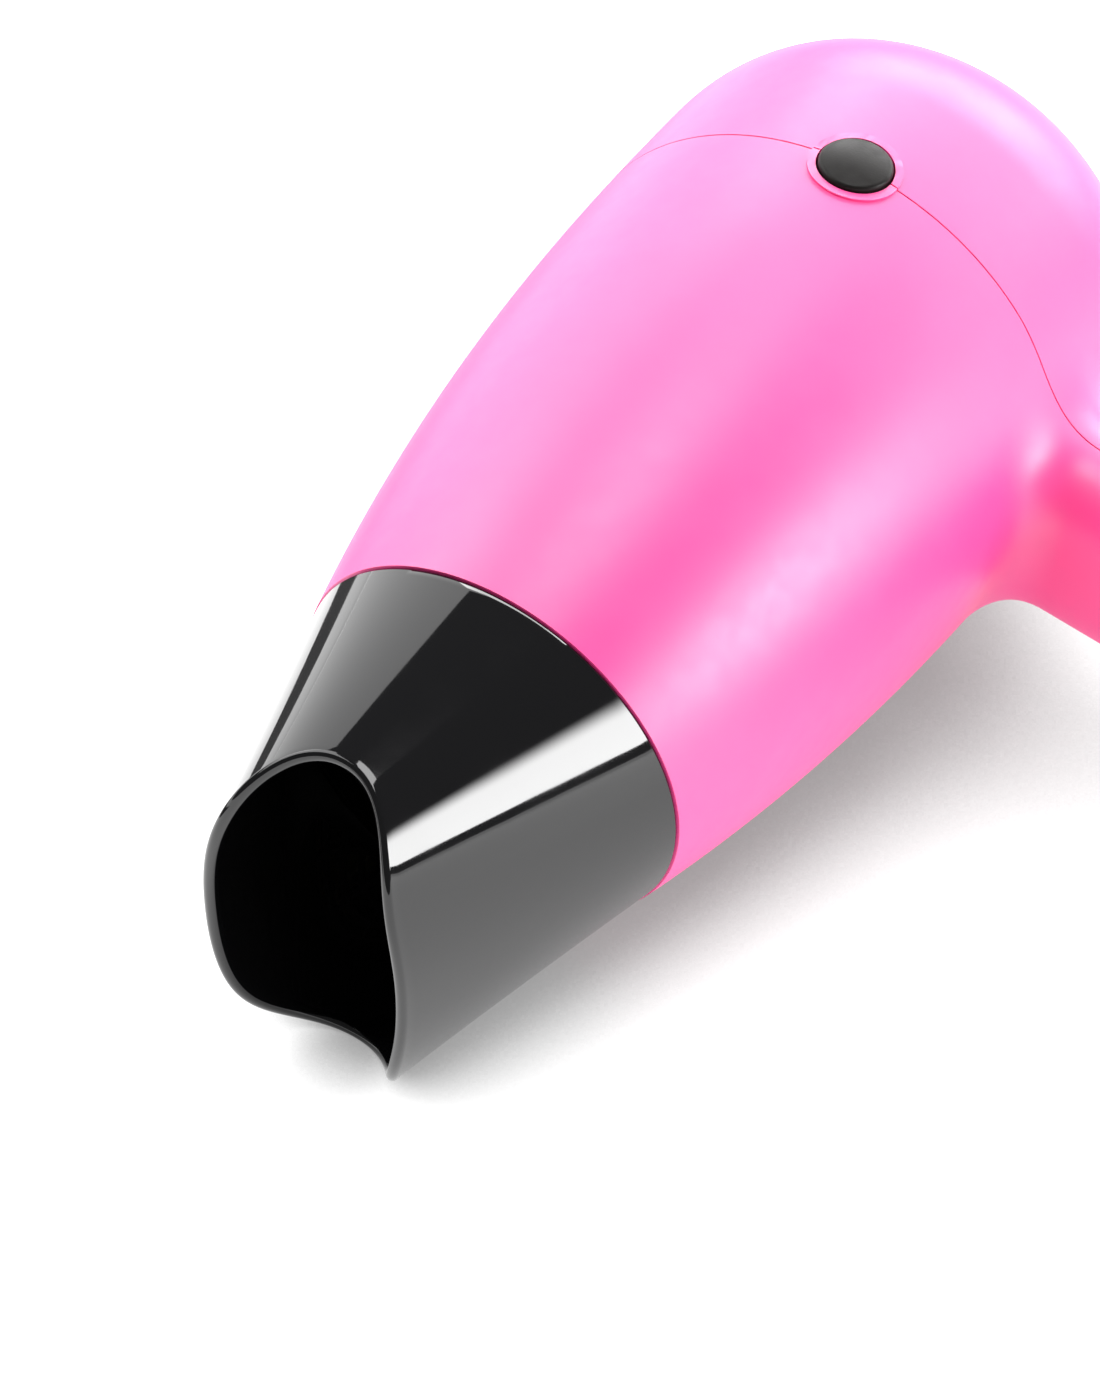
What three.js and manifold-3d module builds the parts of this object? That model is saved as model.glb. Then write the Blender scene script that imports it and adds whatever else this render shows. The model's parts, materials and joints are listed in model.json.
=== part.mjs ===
// Travel hair dryer with a folding handle, lying on its right-hand side.
// Millimetres, +Z up, standing on z = 0 with its bounding box centred on the origin.
//
// Design frame, used for everything until the last lines: +x runs forward along the barrel
// axis, +y to the user's left, the handle points to -z, and x = 0 is the seam ring between
// the front and the rear housing. Handle pieces have a frame of their own, tilted by
// HANDLE_LEAN: +x is the front of the handle, +y its left side, and -z runs down the handle.

import * as THREE from 'three';
import { mergeVertices } from 'three/addons/utils/BufferGeometryUtils.js';
import Module from 'manifold-3d';

const wasm = await Module();
wasm.setup();

// ---------------------------------------------------------------- driving dimensions

const WALL = 2;                 // thickness of the moulded shells
const GAP = 0.3;                // clearance between two pieces that meet
const SEAM_GAP = 0.15;          // each shell stops this far from the seam plane

// barrel: widest at WAIST_X, tapering to the mouth in front and closing in a dome behind
const BARREL_RADIUS = 34.2;
const WAIST_X = -15;
const MOUTH_X = 71.7;
const MOUTH_RADIUS = 24.4;
const TAPER_POWER = 2.33;
const DOME_X = -42;
const DOME_POWER = 2.2;
const GRILLE_X = -33;           // the rear housing stops here and the inlet grille starts

// outlet: fixed mouth ring, snap ring of the nozzle, nozzle
const MOUTH_BORE = 20.6;
const SPIGOT_RADIUS = 20.2;
const AIR_RADIUS = 17.8;
const NOZZLE_X = MOUTH_X + GAP;
const NOZZLE_RADIUS = 23.9;
const NOZZLE_WALL = 1.6;
const NOZZLE_SHELF = 2;         // thickness of the nozzle's inner flange
const SHELF_BORE = 19.6;
const LIP_X = 107.2;            // front of the two broad lips
const NOTCH_DEPTH = 8.3;        // how far the ends of the slot are cut back
const NOTCH_POWER = 4.3;
const SLOT_HALF_LENGTH = 23.6;
const SLOT_HALF_WIDTH = 12.7;
const SLOT_POWER = 2.17;
const NOZZLE_TURN = 4.9;        // degrees, how far the nozzle is swivelled at rest

// air path inside the barrel
const FAN_RADIUS = 26.4;
const DUCT_RADIUS = 28.8;
const DUCT_NECK_RADIUS = 24.5;
const DUCT_WALL = 1.5;
const MOTOR_RADIUS = 12.5;
const SHAFT_RADIUS = 1.1;
const SLEEVE_RADIUS = 24;
const PLATE_HALF_WIDTH = 21.2;
const PLATE_THICKNESS = 0.8;
const HEATER_START = 19;
const HEATER_END = 56;
const COIL_RADIUS = 22.3;

// cool-shot button on the left, its twin plug on the right
const BUTTON_RADIUS = 4.4;
const BUTTON_TOP = 35.1;        // distance of the crown from the barrel axis
const BOSS_RADIUS = 5.6;
const BOSS_TOP = 34.4;

// neck and handle
const HANDLE_LEAN = 4;          // degrees forward
const HANDLE_X = -1.7;          // where the handle axis crosses the barrel axis
const NECK_HALF_DEPTH = 9.5;
const NECK_HALF_WIDTH = 12.05;
const GRIP_POWER = 2.4;
const NECK_FILLET = 5.5;
const HINGE_S = 60;             // distance of the hinge pin from the barrel axis
const EAR_RADIUS = 9.5;
const TONGUE_RADIUS = 9.2;
const TONGUE_HALF_WIDTH = 7.9;
const SLOT_HALF = 8.2;          // half the gap between the two ears
const PIN_RADIUS = 2;
const CAP_RADIUS = 4.8;
const CAP_BACK = 10.1;          // the caps fill the ears from here to CAP_FACE, off the middle
const CAP_FACE = 12.2;
const CAP_EDGE = 0.6;
const HANDLE_START = HINGE_S + 9.9;
const HANDLE_END = 150;
const HANDLE_SWELL = 1.1;
const HANDLE_END_ROUND = 3;
const GLAND_RADIUS = 4.6;
const CORD_HOLE_RADIUS = 3.6;

// rounds are many-sided
const ROUND = 40;
const INNER_ROUND = 24;
const GRIP_SIDES = 24;
const SMALL_ROUND = 16;

// resting pose: rolled towards the handle end and pitched towards the nozzle
const REST_ROLL = 8.85;
const REST_PITCH = 6.95;

// ---------------------------------------------------------------- materials

function material(color, roughness, metalness = 0) {
  return new THREE.MeshStandardMaterial({ color, roughness, metalness });
}

const PINK = material(0xf57cc8, 0.55);
const BLACK_GLOSS = material(0x101012, 0.12);
const BLACK_SATIN = material(0x18181a, 0.45);
const DARK_PLASTIC = material(0x2b2b2e, 0.6);
const STEEL = material(0x9a9ca0, 0.35, 1);
const WIRE = material(0x7d7468, 0.45, 1);
const MICA = material(0xc9bda0, 0.5);
const WHITE_PLASTIC = material(0xe8e6df, 0.5);
const CIRCUIT_BOARD = material(0x2f6b3d, 0.5);
const BLACK_RUBBER = material(0x161616, 0.8);

// ---------------------------------------------------------------- solids

const MERGE_TOLERANCE = 1e-4;

// A closed three.js geometry as a manifold solid, turned right side out.
function toSolid(geometry) {
  const bare = geometry.clone();
  bare.deleteAttribute('normal');
  bare.deleteAttribute('uv');
  const merged = mergeVertices(bare, MERGE_TOLERANCE);
  const places = merged.getAttribute('position');
  const corners = merged.getIndex().array;
  const [a, b, c] = [new THREE.Vector3(), new THREE.Vector3(), new THREE.Vector3()];
  const triangles = [];
  let volume = 0;
  for (let i = 0; i < corners.length; i += 3) {
    const [p, q, r] = corners.slice(i, i + 3);
    if (p === q || q === r || r === p) continue;
    triangles.push([p, q, r]);
    a.fromBufferAttribute(places, p);
    b.fromBufferAttribute(places, q);
    c.fromBufferAttribute(places, r);
    volume += a.dot(b.cross(c));
  }
  if (volume < 0) triangles.forEach((triangle) => triangle.reverse());
  return new wasm.Manifold(new wasm.Mesh({
    numProp: 3,
    vertProperties: Float32Array.from(places.array),
    triVerts: Uint32Array.from(triangles.flat()),
  }));
}

function toGeometry(solid) {
  const mesh = solid.getMesh();
  const geometry = new THREE.BufferGeometry();
  geometry.setAttribute('position', new THREE.BufferAttribute(mesh.vertProperties, 3));
  geometry.setIndex(new THREE.BufferAttribute(mesh.triVerts, 1));
  geometry.computeVertexNormals();
  return geometry;
}

const asSolid = (shape) => (shape.isBufferGeometry ? toSolid(shape) : shape);
const join = (...shapes) => shapes.map(asSolid).reduce((whole, next) => whole.add(next));
const cut = (...shapes) => shapes.map(asSolid).reduce((rest, tool) => rest.subtract(tool));
const common = (...shapes) => shapes.map(asSolid).reduce((whole, next) => whole.intersect(next));

// Turned about the x axis. The outline's points are [x, radius].
function turned(outline, sides = ROUND) {
  const points = outline.map(([x, radius]) => new THREE.Vector2(radius, x));
  return new THREE.LatheGeometry(points, sides).rotateZ(-Math.PI / 2);
}

function turnedRing(outline, sides = ROUND) {
  return turned([...outline, outline[0]], sides);
}

function tube(outer, inner, from, to, sides = ROUND) {
  return turnedRing([[from, inner], [from, outer], [to, outer], [to, inner]], sides);
}

function block([x0, y0, z0], [x1, y1, z1]) {
  const geometry = new THREE.BoxGeometry(x1 - x0, y1 - y0, z1 - z0);
  return geometry.translate((x0 + x1) / 2, (y0 + y1) / 2, (z0 + z1) / 2);
}

function rod(radius, from, to, sides = SMALL_ROUND, endRadius = radius) {
  const start = new THREE.Vector3(...from);
  const along = new THREE.Vector3(...to).sub(start);
  const geometry = new THREE.CylinderGeometry(endRadius, radius, along.length(), sides);
  const turn = new THREE.Quaternion().setFromUnitVectors(
    new THREE.Vector3(0, 1, 0), along.clone().normalize());
  const middle = start.addScaledVector(along, 0.5);
  return geometry.applyQuaternion(turn).translate(middle.x, middle.y, middle.z);
}

// A skin through rings of points. It is capped at both ends, or closed from last to first.
function loft(rings, closed = false) {
  const sides = rings[0].length;
  const points = rings.flat();
  const triangles = [];
  const spans = closed ? rings.length : rings.length - 1;
  for (let row = 0; row < spans; row += 1) {
    const next = (row + 1) % rings.length;
    for (let i = 0; i < sides; i += 1) {
      const j = (i + 1) % sides;
      const [a, b] = [row * sides + i, row * sides + j];
      const [c, d] = [next * sides + j, next * sides + i];
      triangles.push(a, b, c, a, c, d);
    }
  }
  if (!closed) {
    for (const [row, flip] of [[0, true], [rings.length - 1, false]]) {
      const centre = new THREE.Vector3();
      rings[row].forEach((point) => centre.addScaledVector(point, 1 / sides));
      points.push(centre);
      for (let i = 0; i < sides; i += 1) {
        const [a, b] = [row * sides + i, row * sides + (i + 1) % sides];
        triangles.push(...(flip ? [b, a] : [a, b]), points.length - 1);
      }
    }
  }
  const geometry = new THREE.BufferGeometry().setFromPoints(points);
  geometry.setIndex(triangles);
  return geometry;
}

function superellipse(angle, halfX, halfY, power) {
  const bend = (value) => Math.sign(value) * Math.abs(value) ** (2 / power);
  return [halfX * bend(Math.cos(angle)), halfY * bend(Math.sin(angle))];
}

// Angles of a full turn, evenly spaced.
function turnOf(count) {
  return Array.from({ length: count }, (_, i) => (i * 2 * Math.PI) / count);
}

function steps(from, to, count) {
  return Array.from({ length: count + 1 }, (_, i) => from + ((to - from) * i) / count);
}

// A wire along a curve, with a regular polygon for its section.
function wire(curve, radius, segments, sides) {
  const section = new THREE.Shape(
    turnOf(sides).map((a) => new THREE.Vector2(radius * Math.cos(a), radius * Math.sin(a))));
  return new THREE.ExtrudeGeometry(section, {
    steps: segments, extrudePath: curve, bevelEnabled: false,
  });
}

function helixAlongX(radius, from, to, turns, stepsPerTurn = 16) {
  const count = turns * stepsPerTurn;
  return new THREE.CatmullRomCurve3(steps(0, 1, count).map((t) => {
    const angle = t * turns * 2 * Math.PI;
    return new THREE.Vector3(
      from + (to - from) * t, radius * Math.cos(angle), radius * Math.sin(angle));
  }));
}

// ---------------------------------------------------------------- scene graph

const dryer = new THREE.Group();
const handle = new THREE.Group();
const nozzleGroup = new THREE.Group();
dryer.add(handle, nozzleGroup);
handle.position.x = HANDLE_X;
handle.rotation.y = THREE.MathUtils.degToRad(-HANDLE_LEAN);
handle.updateMatrix();
nozzleGroup.rotation.x = THREE.MathUtils.degToRad(NOZZLE_TURN);

function piece(name, shape, finish, parent = dryer) {
  const mesh = new THREE.Mesh(toGeometry(asSolid(shape)), finish);
  mesh.name = name;
  parent.add(mesh);
}

const inHandle = (geometry) => toSolid(geometry.applyMatrix4(handle.matrix));

// ---------------------------------------------------------------- barrel and neck shells

function barrelRadius(x) {
  if (x >= WAIST_X) {
    const t = (x - WAIST_X) / (MOUTH_X - WAIST_X);
    return BARREL_RADIUS - (BARREL_RADIUS - MOUTH_RADIUS) * t ** TAPER_POWER;
  }
  const t = (WAIST_X - x) / (WAIST_X - DOME_X);
  return BARREL_RADIUS * (1 - t ** DOME_POWER) ** (1 / DOME_POWER);
}

// Barrel outline from the grille to the mouth, closer together where it curves most.
const BARREL_STATIONS = [
  ...steps(GRILLE_X, WAIST_X, 4), 0, ...steps(15, 45, 3), ...steps(58, MOUTH_X, 1),
];

function barrelSolid(inset, overrun) {
  const outline = BARREL_STATIONS.map((x) => [x, barrelRadius(x) - inset]);
  const [first, last] = [outline[0], outline[outline.length - 1]];
  return turned([
    [first[0] - overrun, 0], [first[0] - overrun, first[1]], ...outline.slice(overrun ? 0 : 1),
    ...(overrun ? [[last[0] + overrun, last[1]]] : []), [last[0] + overrun, 0],
  ]);
}

// One ring of the neck or handle section, at distance s down the handle.
function gripRing(s, halfDepth, halfWidth) {
  return turnOf(GRIP_SIDES).map((angle) => {
    const [x, y] = superellipse(angle, halfDepth, halfWidth, GRIP_POWER);
    return new THREE.Vector3(x, y, -s);
  });
}

// The neck flares into the barrel in a fillet that follows the barrel's curve.
function neckRing(s) {
  return turnOf(GRIP_SIDES).map((angle) => {
    const [, side] = superellipse(angle, NECK_HALF_DEPTH, NECK_HALF_WIDTH, GRIP_POWER);
    const height = s - Math.sqrt(barrelRadius(0) ** 2 - side ** 2);
    const rise = THREE.MathUtils.clamp(NECK_FILLET - height, 0, NECK_FILLET);
    const flare = NECK_FILLET - Math.sqrt(NECK_FILLET ** 2 - rise ** 2);
    const [x, y] = superellipse(
      angle, NECK_HALF_DEPTH + flare, NECK_HALF_WIDTH + flare, GRIP_POWER);
    return new THREE.Vector3(x, y, -s);
  });
}

function hingeDisc(radius, halfWidth) {
  return rod(radius, [0, -halfWidth, -HINGE_S], [0, halfWidth, -HINGE_S], INNER_ROUND);
}

const pinBore = () => hingeDisc(PIN_RADIUS + GAP, 20);

// Screw places down the handle: one in the neck, two in the handle.
const NECK_SCREW_S = 43;
const HANDLE_SCREWS = { handle_screw_upper: 80, handle_screw_lower: 139 };
const SCREW_BOSS_RADIUS = 3.4;
const SCREW_HEAD_RADIUS = 2.5;
const SCREW_RADIUS = 1.2;
const SCREW_SEAT = -6.5;        // the head rests on this level inside its counterbore
const SCREW_TIP = 5;

const screwBoss = (s, depth) => rod(SCREW_BOSS_RADIUS, [-depth, 0, -s], [depth, 0, -s]);

function screwHole(s) {
  return join(
    rod(SCREW_HEAD_RADIUS + GAP, [-20, 0, -s], [SCREW_SEAT, 0, -s]),
    rod(SCREW_RADIUS + GAP, [-20, 0, -s], [SCREW_TIP + GAP, 0, -s]));
}

function screw(s) {
  const head = [SCREW_SEAT - 2, SCREW_SEAT - GAP];
  const slot = 0.4;
  return cut(
    join(
      rod(SCREW_HEAD_RADIUS, [head[0], 0, -s], [head[1], 0, -s]),
      rod(SCREW_RADIUS, [head[1] - 0.5, 0, -s], [SCREW_TIP, 0, -s], 10)),
    block([head[0] - 1, -slot, -s - 1.8], [head[0] + 1, slot, -s + 1.8]),
    block([head[0] - 1, -1.8, -s - slot], [head[0] + 1, 1.8, -s + slot]));
}

// The seam runs round the barrel at x = 0 and then down the middle of the neck.
function seamSide(direction) {
  const lean = THREE.MathUtils.degToRad(HANDLE_LEAN);
  const shift = SEAM_GAP * direction;
  const bendZ = HANDLE_X / Math.tan(lean);
  const low = -100;
  const outline = new THREE.Shape([
    new THREE.Vector2(shift, 60),
    new THREE.Vector2(shift, bendZ),
    new THREE.Vector2(shift + (bendZ - low) * Math.tan(lean), low),
    new THREE.Vector2(150 * direction, low),
    new THREE.Vector2(150 * direction, 60),
  ]);
  const geometry = new THREE.ExtrudeGeometry(outline, { depth: 120, bevelEnabled: false });
  return geometry.rotateX(Math.PI / 2).translate(0, 60, 0);
}

function housingShell() {
  const slotTop = HINGE_S - EAR_RADIUS - GAP;
  const neckStations = [22, 28.5, 30.5, 32.3, 34, 36.5, 39.6, HINGE_S];
  const neck = inHandle(loft(neckStations.map(neckRing)));
  const ears = common(
    inHandle(loft([40, HINGE_S + 15].map((s) => gripRing(s, NECK_HALF_DEPTH, NECK_HALF_WIDTH)))),
    inHandle(hingeDisc(EAR_RADIUS, 20)));
  const [low, high] = [BOSS_TOP, BUTTON_TOP + 5];
  const bossRods = [-1, 1].map((side) => rod(BOSS_RADIUS, [0, 25 * side, 0], [0, low * side, 0]));
  const boreRods = [-1, 1].map(
    (side) => rod(BUTTON_RADIUS + GAP, [0, 25 * side, 0], [0, high * side, 0]));
  const neckHollow = inHandle(loft([20, slotTop - WALL].map(
    (s) => gripRing(s, NECK_HALF_DEPTH - WALL, NECK_HALF_WIDTH - WALL))));
  const capBores = [-1, 1].map((side) => inHandle(
    rod(CAP_RADIUS + GAP, [0, (CAP_BACK - 0.1) * side, -HINGE_S], [0, 20 * side, -HINGE_S])));
  const shell = cut(
    join(barrelSolid(0, 0), neck, ears, ...bossRods),
    barrelSolid(WALL, 5), neckHollow, ...boreRods, ...capBores,
    inHandle(pinBore()),
    inHandle(block([-20, -SLOT_HALF, -HINGE_S - 20], [20, SLOT_HALF, -slotTop])),
    inHandle(rod(1.8, [-5, 0, -slotTop + 4], [-5, 0, -slotTop - 4])));
  const boss = inHandle(screwBoss(NECK_SCREW_S, NECK_HALF_DEPTH - 0.5));
  return cut(join(shell, boss), toSolid(toGeometry(screwHole(NECK_SCREW_S))
    .applyMatrix4(handle.matrix)));
}

const housing = housingShell();
piece('front_housing', common(housing, seamSide(1)), PINK);
piece('rear_housing', common(housing, seamSide(-1)), PINK);
piece('neck_screw', screw(NECK_SCREW_S), STEEL, handle);

// ---------------------------------------------------------------- inlet grille and filter

const SKIRT_RADIUS = barrelRadius(GRILLE_X) - WALL - GAP;
const GRILLE_WALL = 1.6;
const SKIRT_END = -28;

function inletGrille() {
  const rim = GRILLE_X - GAP;
  const stations = [-41.4, -39.2, -36.6, rim];
  const outside = stations.map((x) => [x, barrelRadius(x)]);
  const inside = stations.slice(0, 3).map((x) => [
    x + GRILLE_WALL, Math.min(barrelRadius(x) - GRILLE_WALL / 2, SKIRT_RADIUS - GRILLE_WALL),
  ]).reverse();
  const cap = toSolid(turned([
    [DOME_X, 0], ...outside, [rim, SKIRT_RADIUS], [SKIRT_END, SKIRT_RADIUS],
    [SKIRT_END, SKIRT_RADIUS - GRILLE_WALL], [rim - 1, SKIRT_RADIUS - GRILLE_WALL],
    ...inside, [DOME_X + GRILLE_WALL, 0],
  ]));
  const slots = turnOf(10).map((angle) => toSolid(
    block([-50, -1.2, 8], [-34.5, 1.2, 20.5]).rotateX(angle)));
  return cut(cap, ...slots);
}

function filterScreen() {
  const radius = SKIRT_RADIUS - GRILLE_WALL - GAP;
  const [back, front] = [-30, -29.2];
  const bars = steps(-13, 13, 2).map((offset) => {
    const half = Math.sqrt((radius - 0.8) ** 2 - offset ** 2);
    return join(
      block([back, -half, offset - 0.4], [front, half, offset + 0.4]),
      block([back, offset - 0.4, -half], [front, offset + 0.4, half]));
  });
  return join(tube(radius, radius - 1.6, back, front, INNER_ROUND), ...bars);
}

piece('inlet_grille', inletGrille(), BLACK_SATIN);
piece('filter_screen', filterScreen(), STEEL);

// ---------------------------------------------------------------- outlet and nozzle

const MOUTH_RING_BACK = 58.6;
piece('mouth_ring', turnedRing([
  [MOUTH_RING_BACK, MOUTH_BORE], [MOUTH_RING_BACK, 24.6], [60, 24.6], [60, 22],
  [70, 22], [70, MOUTH_BORE],
], INNER_ROUND), DARK_PLASTIC);

function outletGrille() {
  const [back, front] = [60.6, 62.4];
  const radius = MOUTH_BORE - GAP;
  const bars = turnOf(6).map((angle) => toSolid(
    block([back, -0.6, 3], [front, 0.6, radius - 0.5]).rotateX(angle)));
  return join(
    tube(radius, radius - 1.6, back, front, INNER_ROUND), tube(12.4, 11.2, back, front, INNER_ROUND),
    tube(4, 1.6, back, front, 12), ...bars);
}
piece('outlet_grille', outletGrille(), DARK_PLASTIC);

// The snap ring plugs into the mouth and holds the nozzle's shelf between two flanges.
piece('nozzle_ring', turnedRing([
  [63.2, AIR_RADIUS], [63.2, SPIGOT_RADIUS], [70.4, SPIGOT_RADIUS],
  [70.4, 21.8], [NOZZLE_X - GAP, 21.8], [NOZZLE_X - GAP, SHELF_BORE - 0.4],
  [NOZZLE_X + NOZZLE_SHELF + GAP, SHELF_BORE - 0.4],
  [NOZZLE_X + NOZZLE_SHELF + GAP, SPIGOT_RADIUS],
  [NOZZLE_X + NOZZLE_SHELF + 1.4, SPIGOT_RADIUS], [NOZZLE_X + NOZZLE_SHELF + 1.4, AIR_RADIUS],
], INNER_ROUND), BLACK_SATIN);

// A ring of the nozzle at a fraction of the way from its round base to its rim.
function nozzleRing(fraction, inset) {
  const length = LIP_X - NOZZLE_X;
  return turnOf(ROUND).map((angle) => {
    const reach = length - NOTCH_DEPTH * Math.abs(Math.cos(angle)) ** NOTCH_POWER;
    const x = reach * fraction;
    const t = x / length;
    const halfY = NOZZLE_RADIUS + (SLOT_HALF_LENGTH - NOZZLE_RADIUS) * t - inset;
    const halfZ = NOZZLE_RADIUS + (SLOT_HALF_WIDTH - NOZZLE_RADIUS) * t - inset;
    const [y, z] = superellipse(angle, halfY, halfZ, 2 + (SLOT_POWER - 2) * t);
    return new THREE.Vector3(NOZZLE_X + x, y, z);
  });
}

function circle(x, radius) {
  return turnOf(ROUND).map((angle) => new THREE.Vector3(
    x, radius * Math.cos(angle), radius * Math.sin(angle)));
}

function nozzle() {
  const shelf = NOZZLE_X + NOZZLE_SHELF;
  const shelfFraction = NOZZLE_SHELF / (LIP_X - NOZZLE_X);
  return loft([
    ...steps(0, 1, 4).map((fraction) => nozzleRing(fraction, 0)),
    ...steps(1, shelfFraction, 3).map((fraction) => nozzleRing(fraction, NOZZLE_WALL)),
    circle(shelf, SHELF_BORE), circle(NOZZLE_X, SHELF_BORE),
  ], true);
}
piece('nozzle', nozzle(), BLACK_GLOSS, nozzleGroup);

// ---------------------------------------------------------------- heater

piece('mica_sleeve', tube(SLEEVE_RADIUS, SLEEVE_RADIUS - 0.8, 10, 58.2, INNER_ROUND), MICA);

// The two plates cross on the axis, each slotted for half its length.
function micaPlates() {
  const [half, slot] = [PLATE_THICKNESS / 2, PLATE_THICKNESS / 2 + GAP];
  const middle = (HEATER_START + HEATER_END) / 2;
  const w = PLATE_HALF_WIDTH;
  piece('mica_plate_upright', cut(
    block([HEATER_START, -half, -w], [HEATER_END, half, w]),
    block([middle - GAP, -5, -slot], [HEATER_END + 5, 5, slot])), MICA);
  piece('mica_plate_flat', cut(
    block([HEATER_START, -w, -half], [HEATER_END, w, half]),
    block([HEATER_START - 5, -slot, -5], [middle + GAP, slot, 5])), MICA);
}
micaPlates();

const COILS = { heating_coil_rear: [21, 35], heating_coil_front: [39, 53] };
for (const [name, [from, to]] of Object.entries(COILS)) {
  piece(name, wire(helixAlongX(COIL_RADIUS, from, to, 3), 0.4, 48, 4), WIRE);
}

piece('thermostat', join(
  block([40, 5, 0.7], [50, 13, 3.2]), rod(3, [45, 9, 3], [45, 9, 5])), STEEL);
piece('thermal_fuse', join(
  rod(1.7, [40, -9, 2.6], [50, -9, 2.6], 12),
  rod(0.5, [36, -9, 2.6], [54, -9, 2.6], 6)), WHITE_PLASTIC);

// ---------------------------------------------------------------- motor and fan

function motorMount() {
  const neckInside = DUCT_NECK_RADIUS - DUCT_WALL;
  const duct = turnedRing([
    [-26.5, DUCT_RADIUS - DUCT_WALL], [-26.5, DUCT_RADIUS], [-14, DUCT_RADIUS],
    [-6, DUCT_NECK_RADIUS], [9.6, DUCT_NECK_RADIUS], [9.6, neckInside],
    [-6.6, neckInside], [-14.6, DUCT_RADIUS - DUCT_WALL],
  ], INNER_ROUND);
  const cup = tube(14.4, MOTOR_RADIUS + 0.4, -8, 9, INNER_ROUND);
  const vanes = turnOf(5).map((angle) => toSolid(
    block([-5, -0.7, 14], [8, 0.7, neckInside + 0.5]).rotateX(angle)));
  return join(duct, cup, ...vanes);
}

function fan() {
  const [back, front] = [-25.5, -16];
  const middle = (back + front) / 2;
  const hub = turnedRing([
    [back, SHAFT_RADIUS + GAP], [back, 5], [back + 3, 7.5], [front, 7.5],
    [front, SHAFT_RADIUS + GAP],
  ], SMALL_ROUND);
  const pitch = THREE.MathUtils.degToRad(40);
  const blades = turnOf(7).map((angle) => toSolid(
    block([-0.6, -5.4, 6.5], [0.6, 5.4, FAN_RADIUS - 0.6])
      .rotateZ(pitch).translate(middle, 0, 0).rotateX(angle)));
  return join(hub, ...blades);
}

piece('motor_mount', motorMount(), WHITE_PLASTIC);
piece('motor', turnedRing([
  [-14.5, SHAFT_RADIUS + GAP], [-14.5, 3.5], [-13, 3.5], [-13, MOTOR_RADIUS],
  [10, MOTOR_RADIUS], [10, 3.5], [11, 3.5], [11, SHAFT_RADIUS + GAP],
], INNER_ROUND), STEEL);
piece('motor_shaft', rod(SHAFT_RADIUS, [-26.5, 0, 0], [11.6, 0, 0], 12), STEEL);
piece('fan', fan(), DARK_PLASTIC);

function rectifierBoard() {
  const diodes = [[-5, -5], [5, -5], [-5, 5], [5, 5]].map(([y, z]) => block(
    [13.8, y - 2, z - 1.2], [17, y + 2, z + 1.2]));
  return join(tube(11, 2.2, 12.6, 14, 12), ...diodes);
}
piece('rectifier_board', rectifierBoard(), CIRCUIT_BOARD);

// ---------------------------------------------------------------- cool-shot button, side plug

const SWITCH_TOP = 28;
const FLANGE_BOTTOM = barrelRadius(0) - WALL - 1.9;

// The cap's edge is rounded, and a flange behind the shell keeps it from falling out.
function capDisc(side) {
  const flangeTop = FLANGE_BOTTOM + 0.9;
  const y = (value) => [0, value * side, 0];
  const shoulder = BUTTON_TOP - 0.7;
  return join(
    rod(BUTTON_RADIUS + 1.2, y(flangeTop - 0.9), y(flangeTop)),
    rod(BUTTON_RADIUS, y(flangeTop - 0.5), y(shoulder)),
    rod(BUTTON_RADIUS, y(shoulder), y(BUTTON_TOP), SMALL_ROUND, BUTTON_RADIUS - 0.8));
}

piece('cool_shot_button', join(
  capDisc(1), rod(1.2, [0, FLANGE_BOTTOM - 0.6, 0], [0, FLANGE_BOTTOM + 0.5, 0], 12)), BLACK_SATIN);
piece('side_plug', capDisc(-1), BLACK_SATIN);
piece('cool_shot_switch', join(
  block([-4, 25, -3.5], [4, SWITCH_TOP - 0.6, 3.5]),
  rod(1.3, [0, 27, 0], [0, SWITCH_TOP - GAP, 0], 12)), DARK_PLASTIC);
piece('cool_shot_spring', wire(
  helixAlongX(2.4, SWITCH_TOP, FLANGE_BOTTOM - 0.7, 3, 12), 0.25, 36, 4)
  .rotateZ(Math.PI / 2), STEEL);

// ---------------------------------------------------------------- hinge

const PIN_END = CAP_BACK - 0.4;
piece('hinge_pin', rod(
  PIN_RADIUS, [0, -PIN_END, -HINGE_S], [0, PIN_END, -HINGE_S]), STEEL, handle);
for (const [name, side] of [['hinge_cap_left', 1], ['hinge_cap_right', -1]]) {
  const y = (value) => [0, value * side, -HINGE_S];
  piece(name, join(
    rod(CAP_RADIUS, y(CAP_BACK), y(CAP_FACE - 0.5), INNER_ROUND),
    rod(CAP_RADIUS, y(CAP_FACE - 0.5), y(CAP_FACE), INNER_ROUND, CAP_RADIUS - CAP_EDGE)),
  BLACK_SATIN, handle);
}

// ---------------------------------------------------------------- handle shells

// Half depth and half width of the handle, swelling gently in the palm.
function handleHalf(s) {
  const t = THREE.MathUtils.clamp((s - HANDLE_START) / (HANDLE_END - HANDLE_START), 0, 1);
  const swell = HANDLE_SWELL * Math.sin(Math.PI * t);
  const over = Math.max(0, s - (HANDLE_END - HANDLE_END_ROUND));
  const round = HANDLE_END_ROUND - Math.sqrt(HANDLE_END_ROUND ** 2 - over ** 2);
  return [NECK_HALF_DEPTH + swell - round, NECK_HALF_WIDTH + swell - round];
}

function handleSkin(stations, inset) {
  return loft(stations.map((s) => {
    const [depth, width] = handleHalf(Math.min(s, HANDLE_END - (inset ? HANDLE_END_ROUND : 0)));
    return gripRing(s, depth - inset, width - inset);
  }));
}

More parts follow.
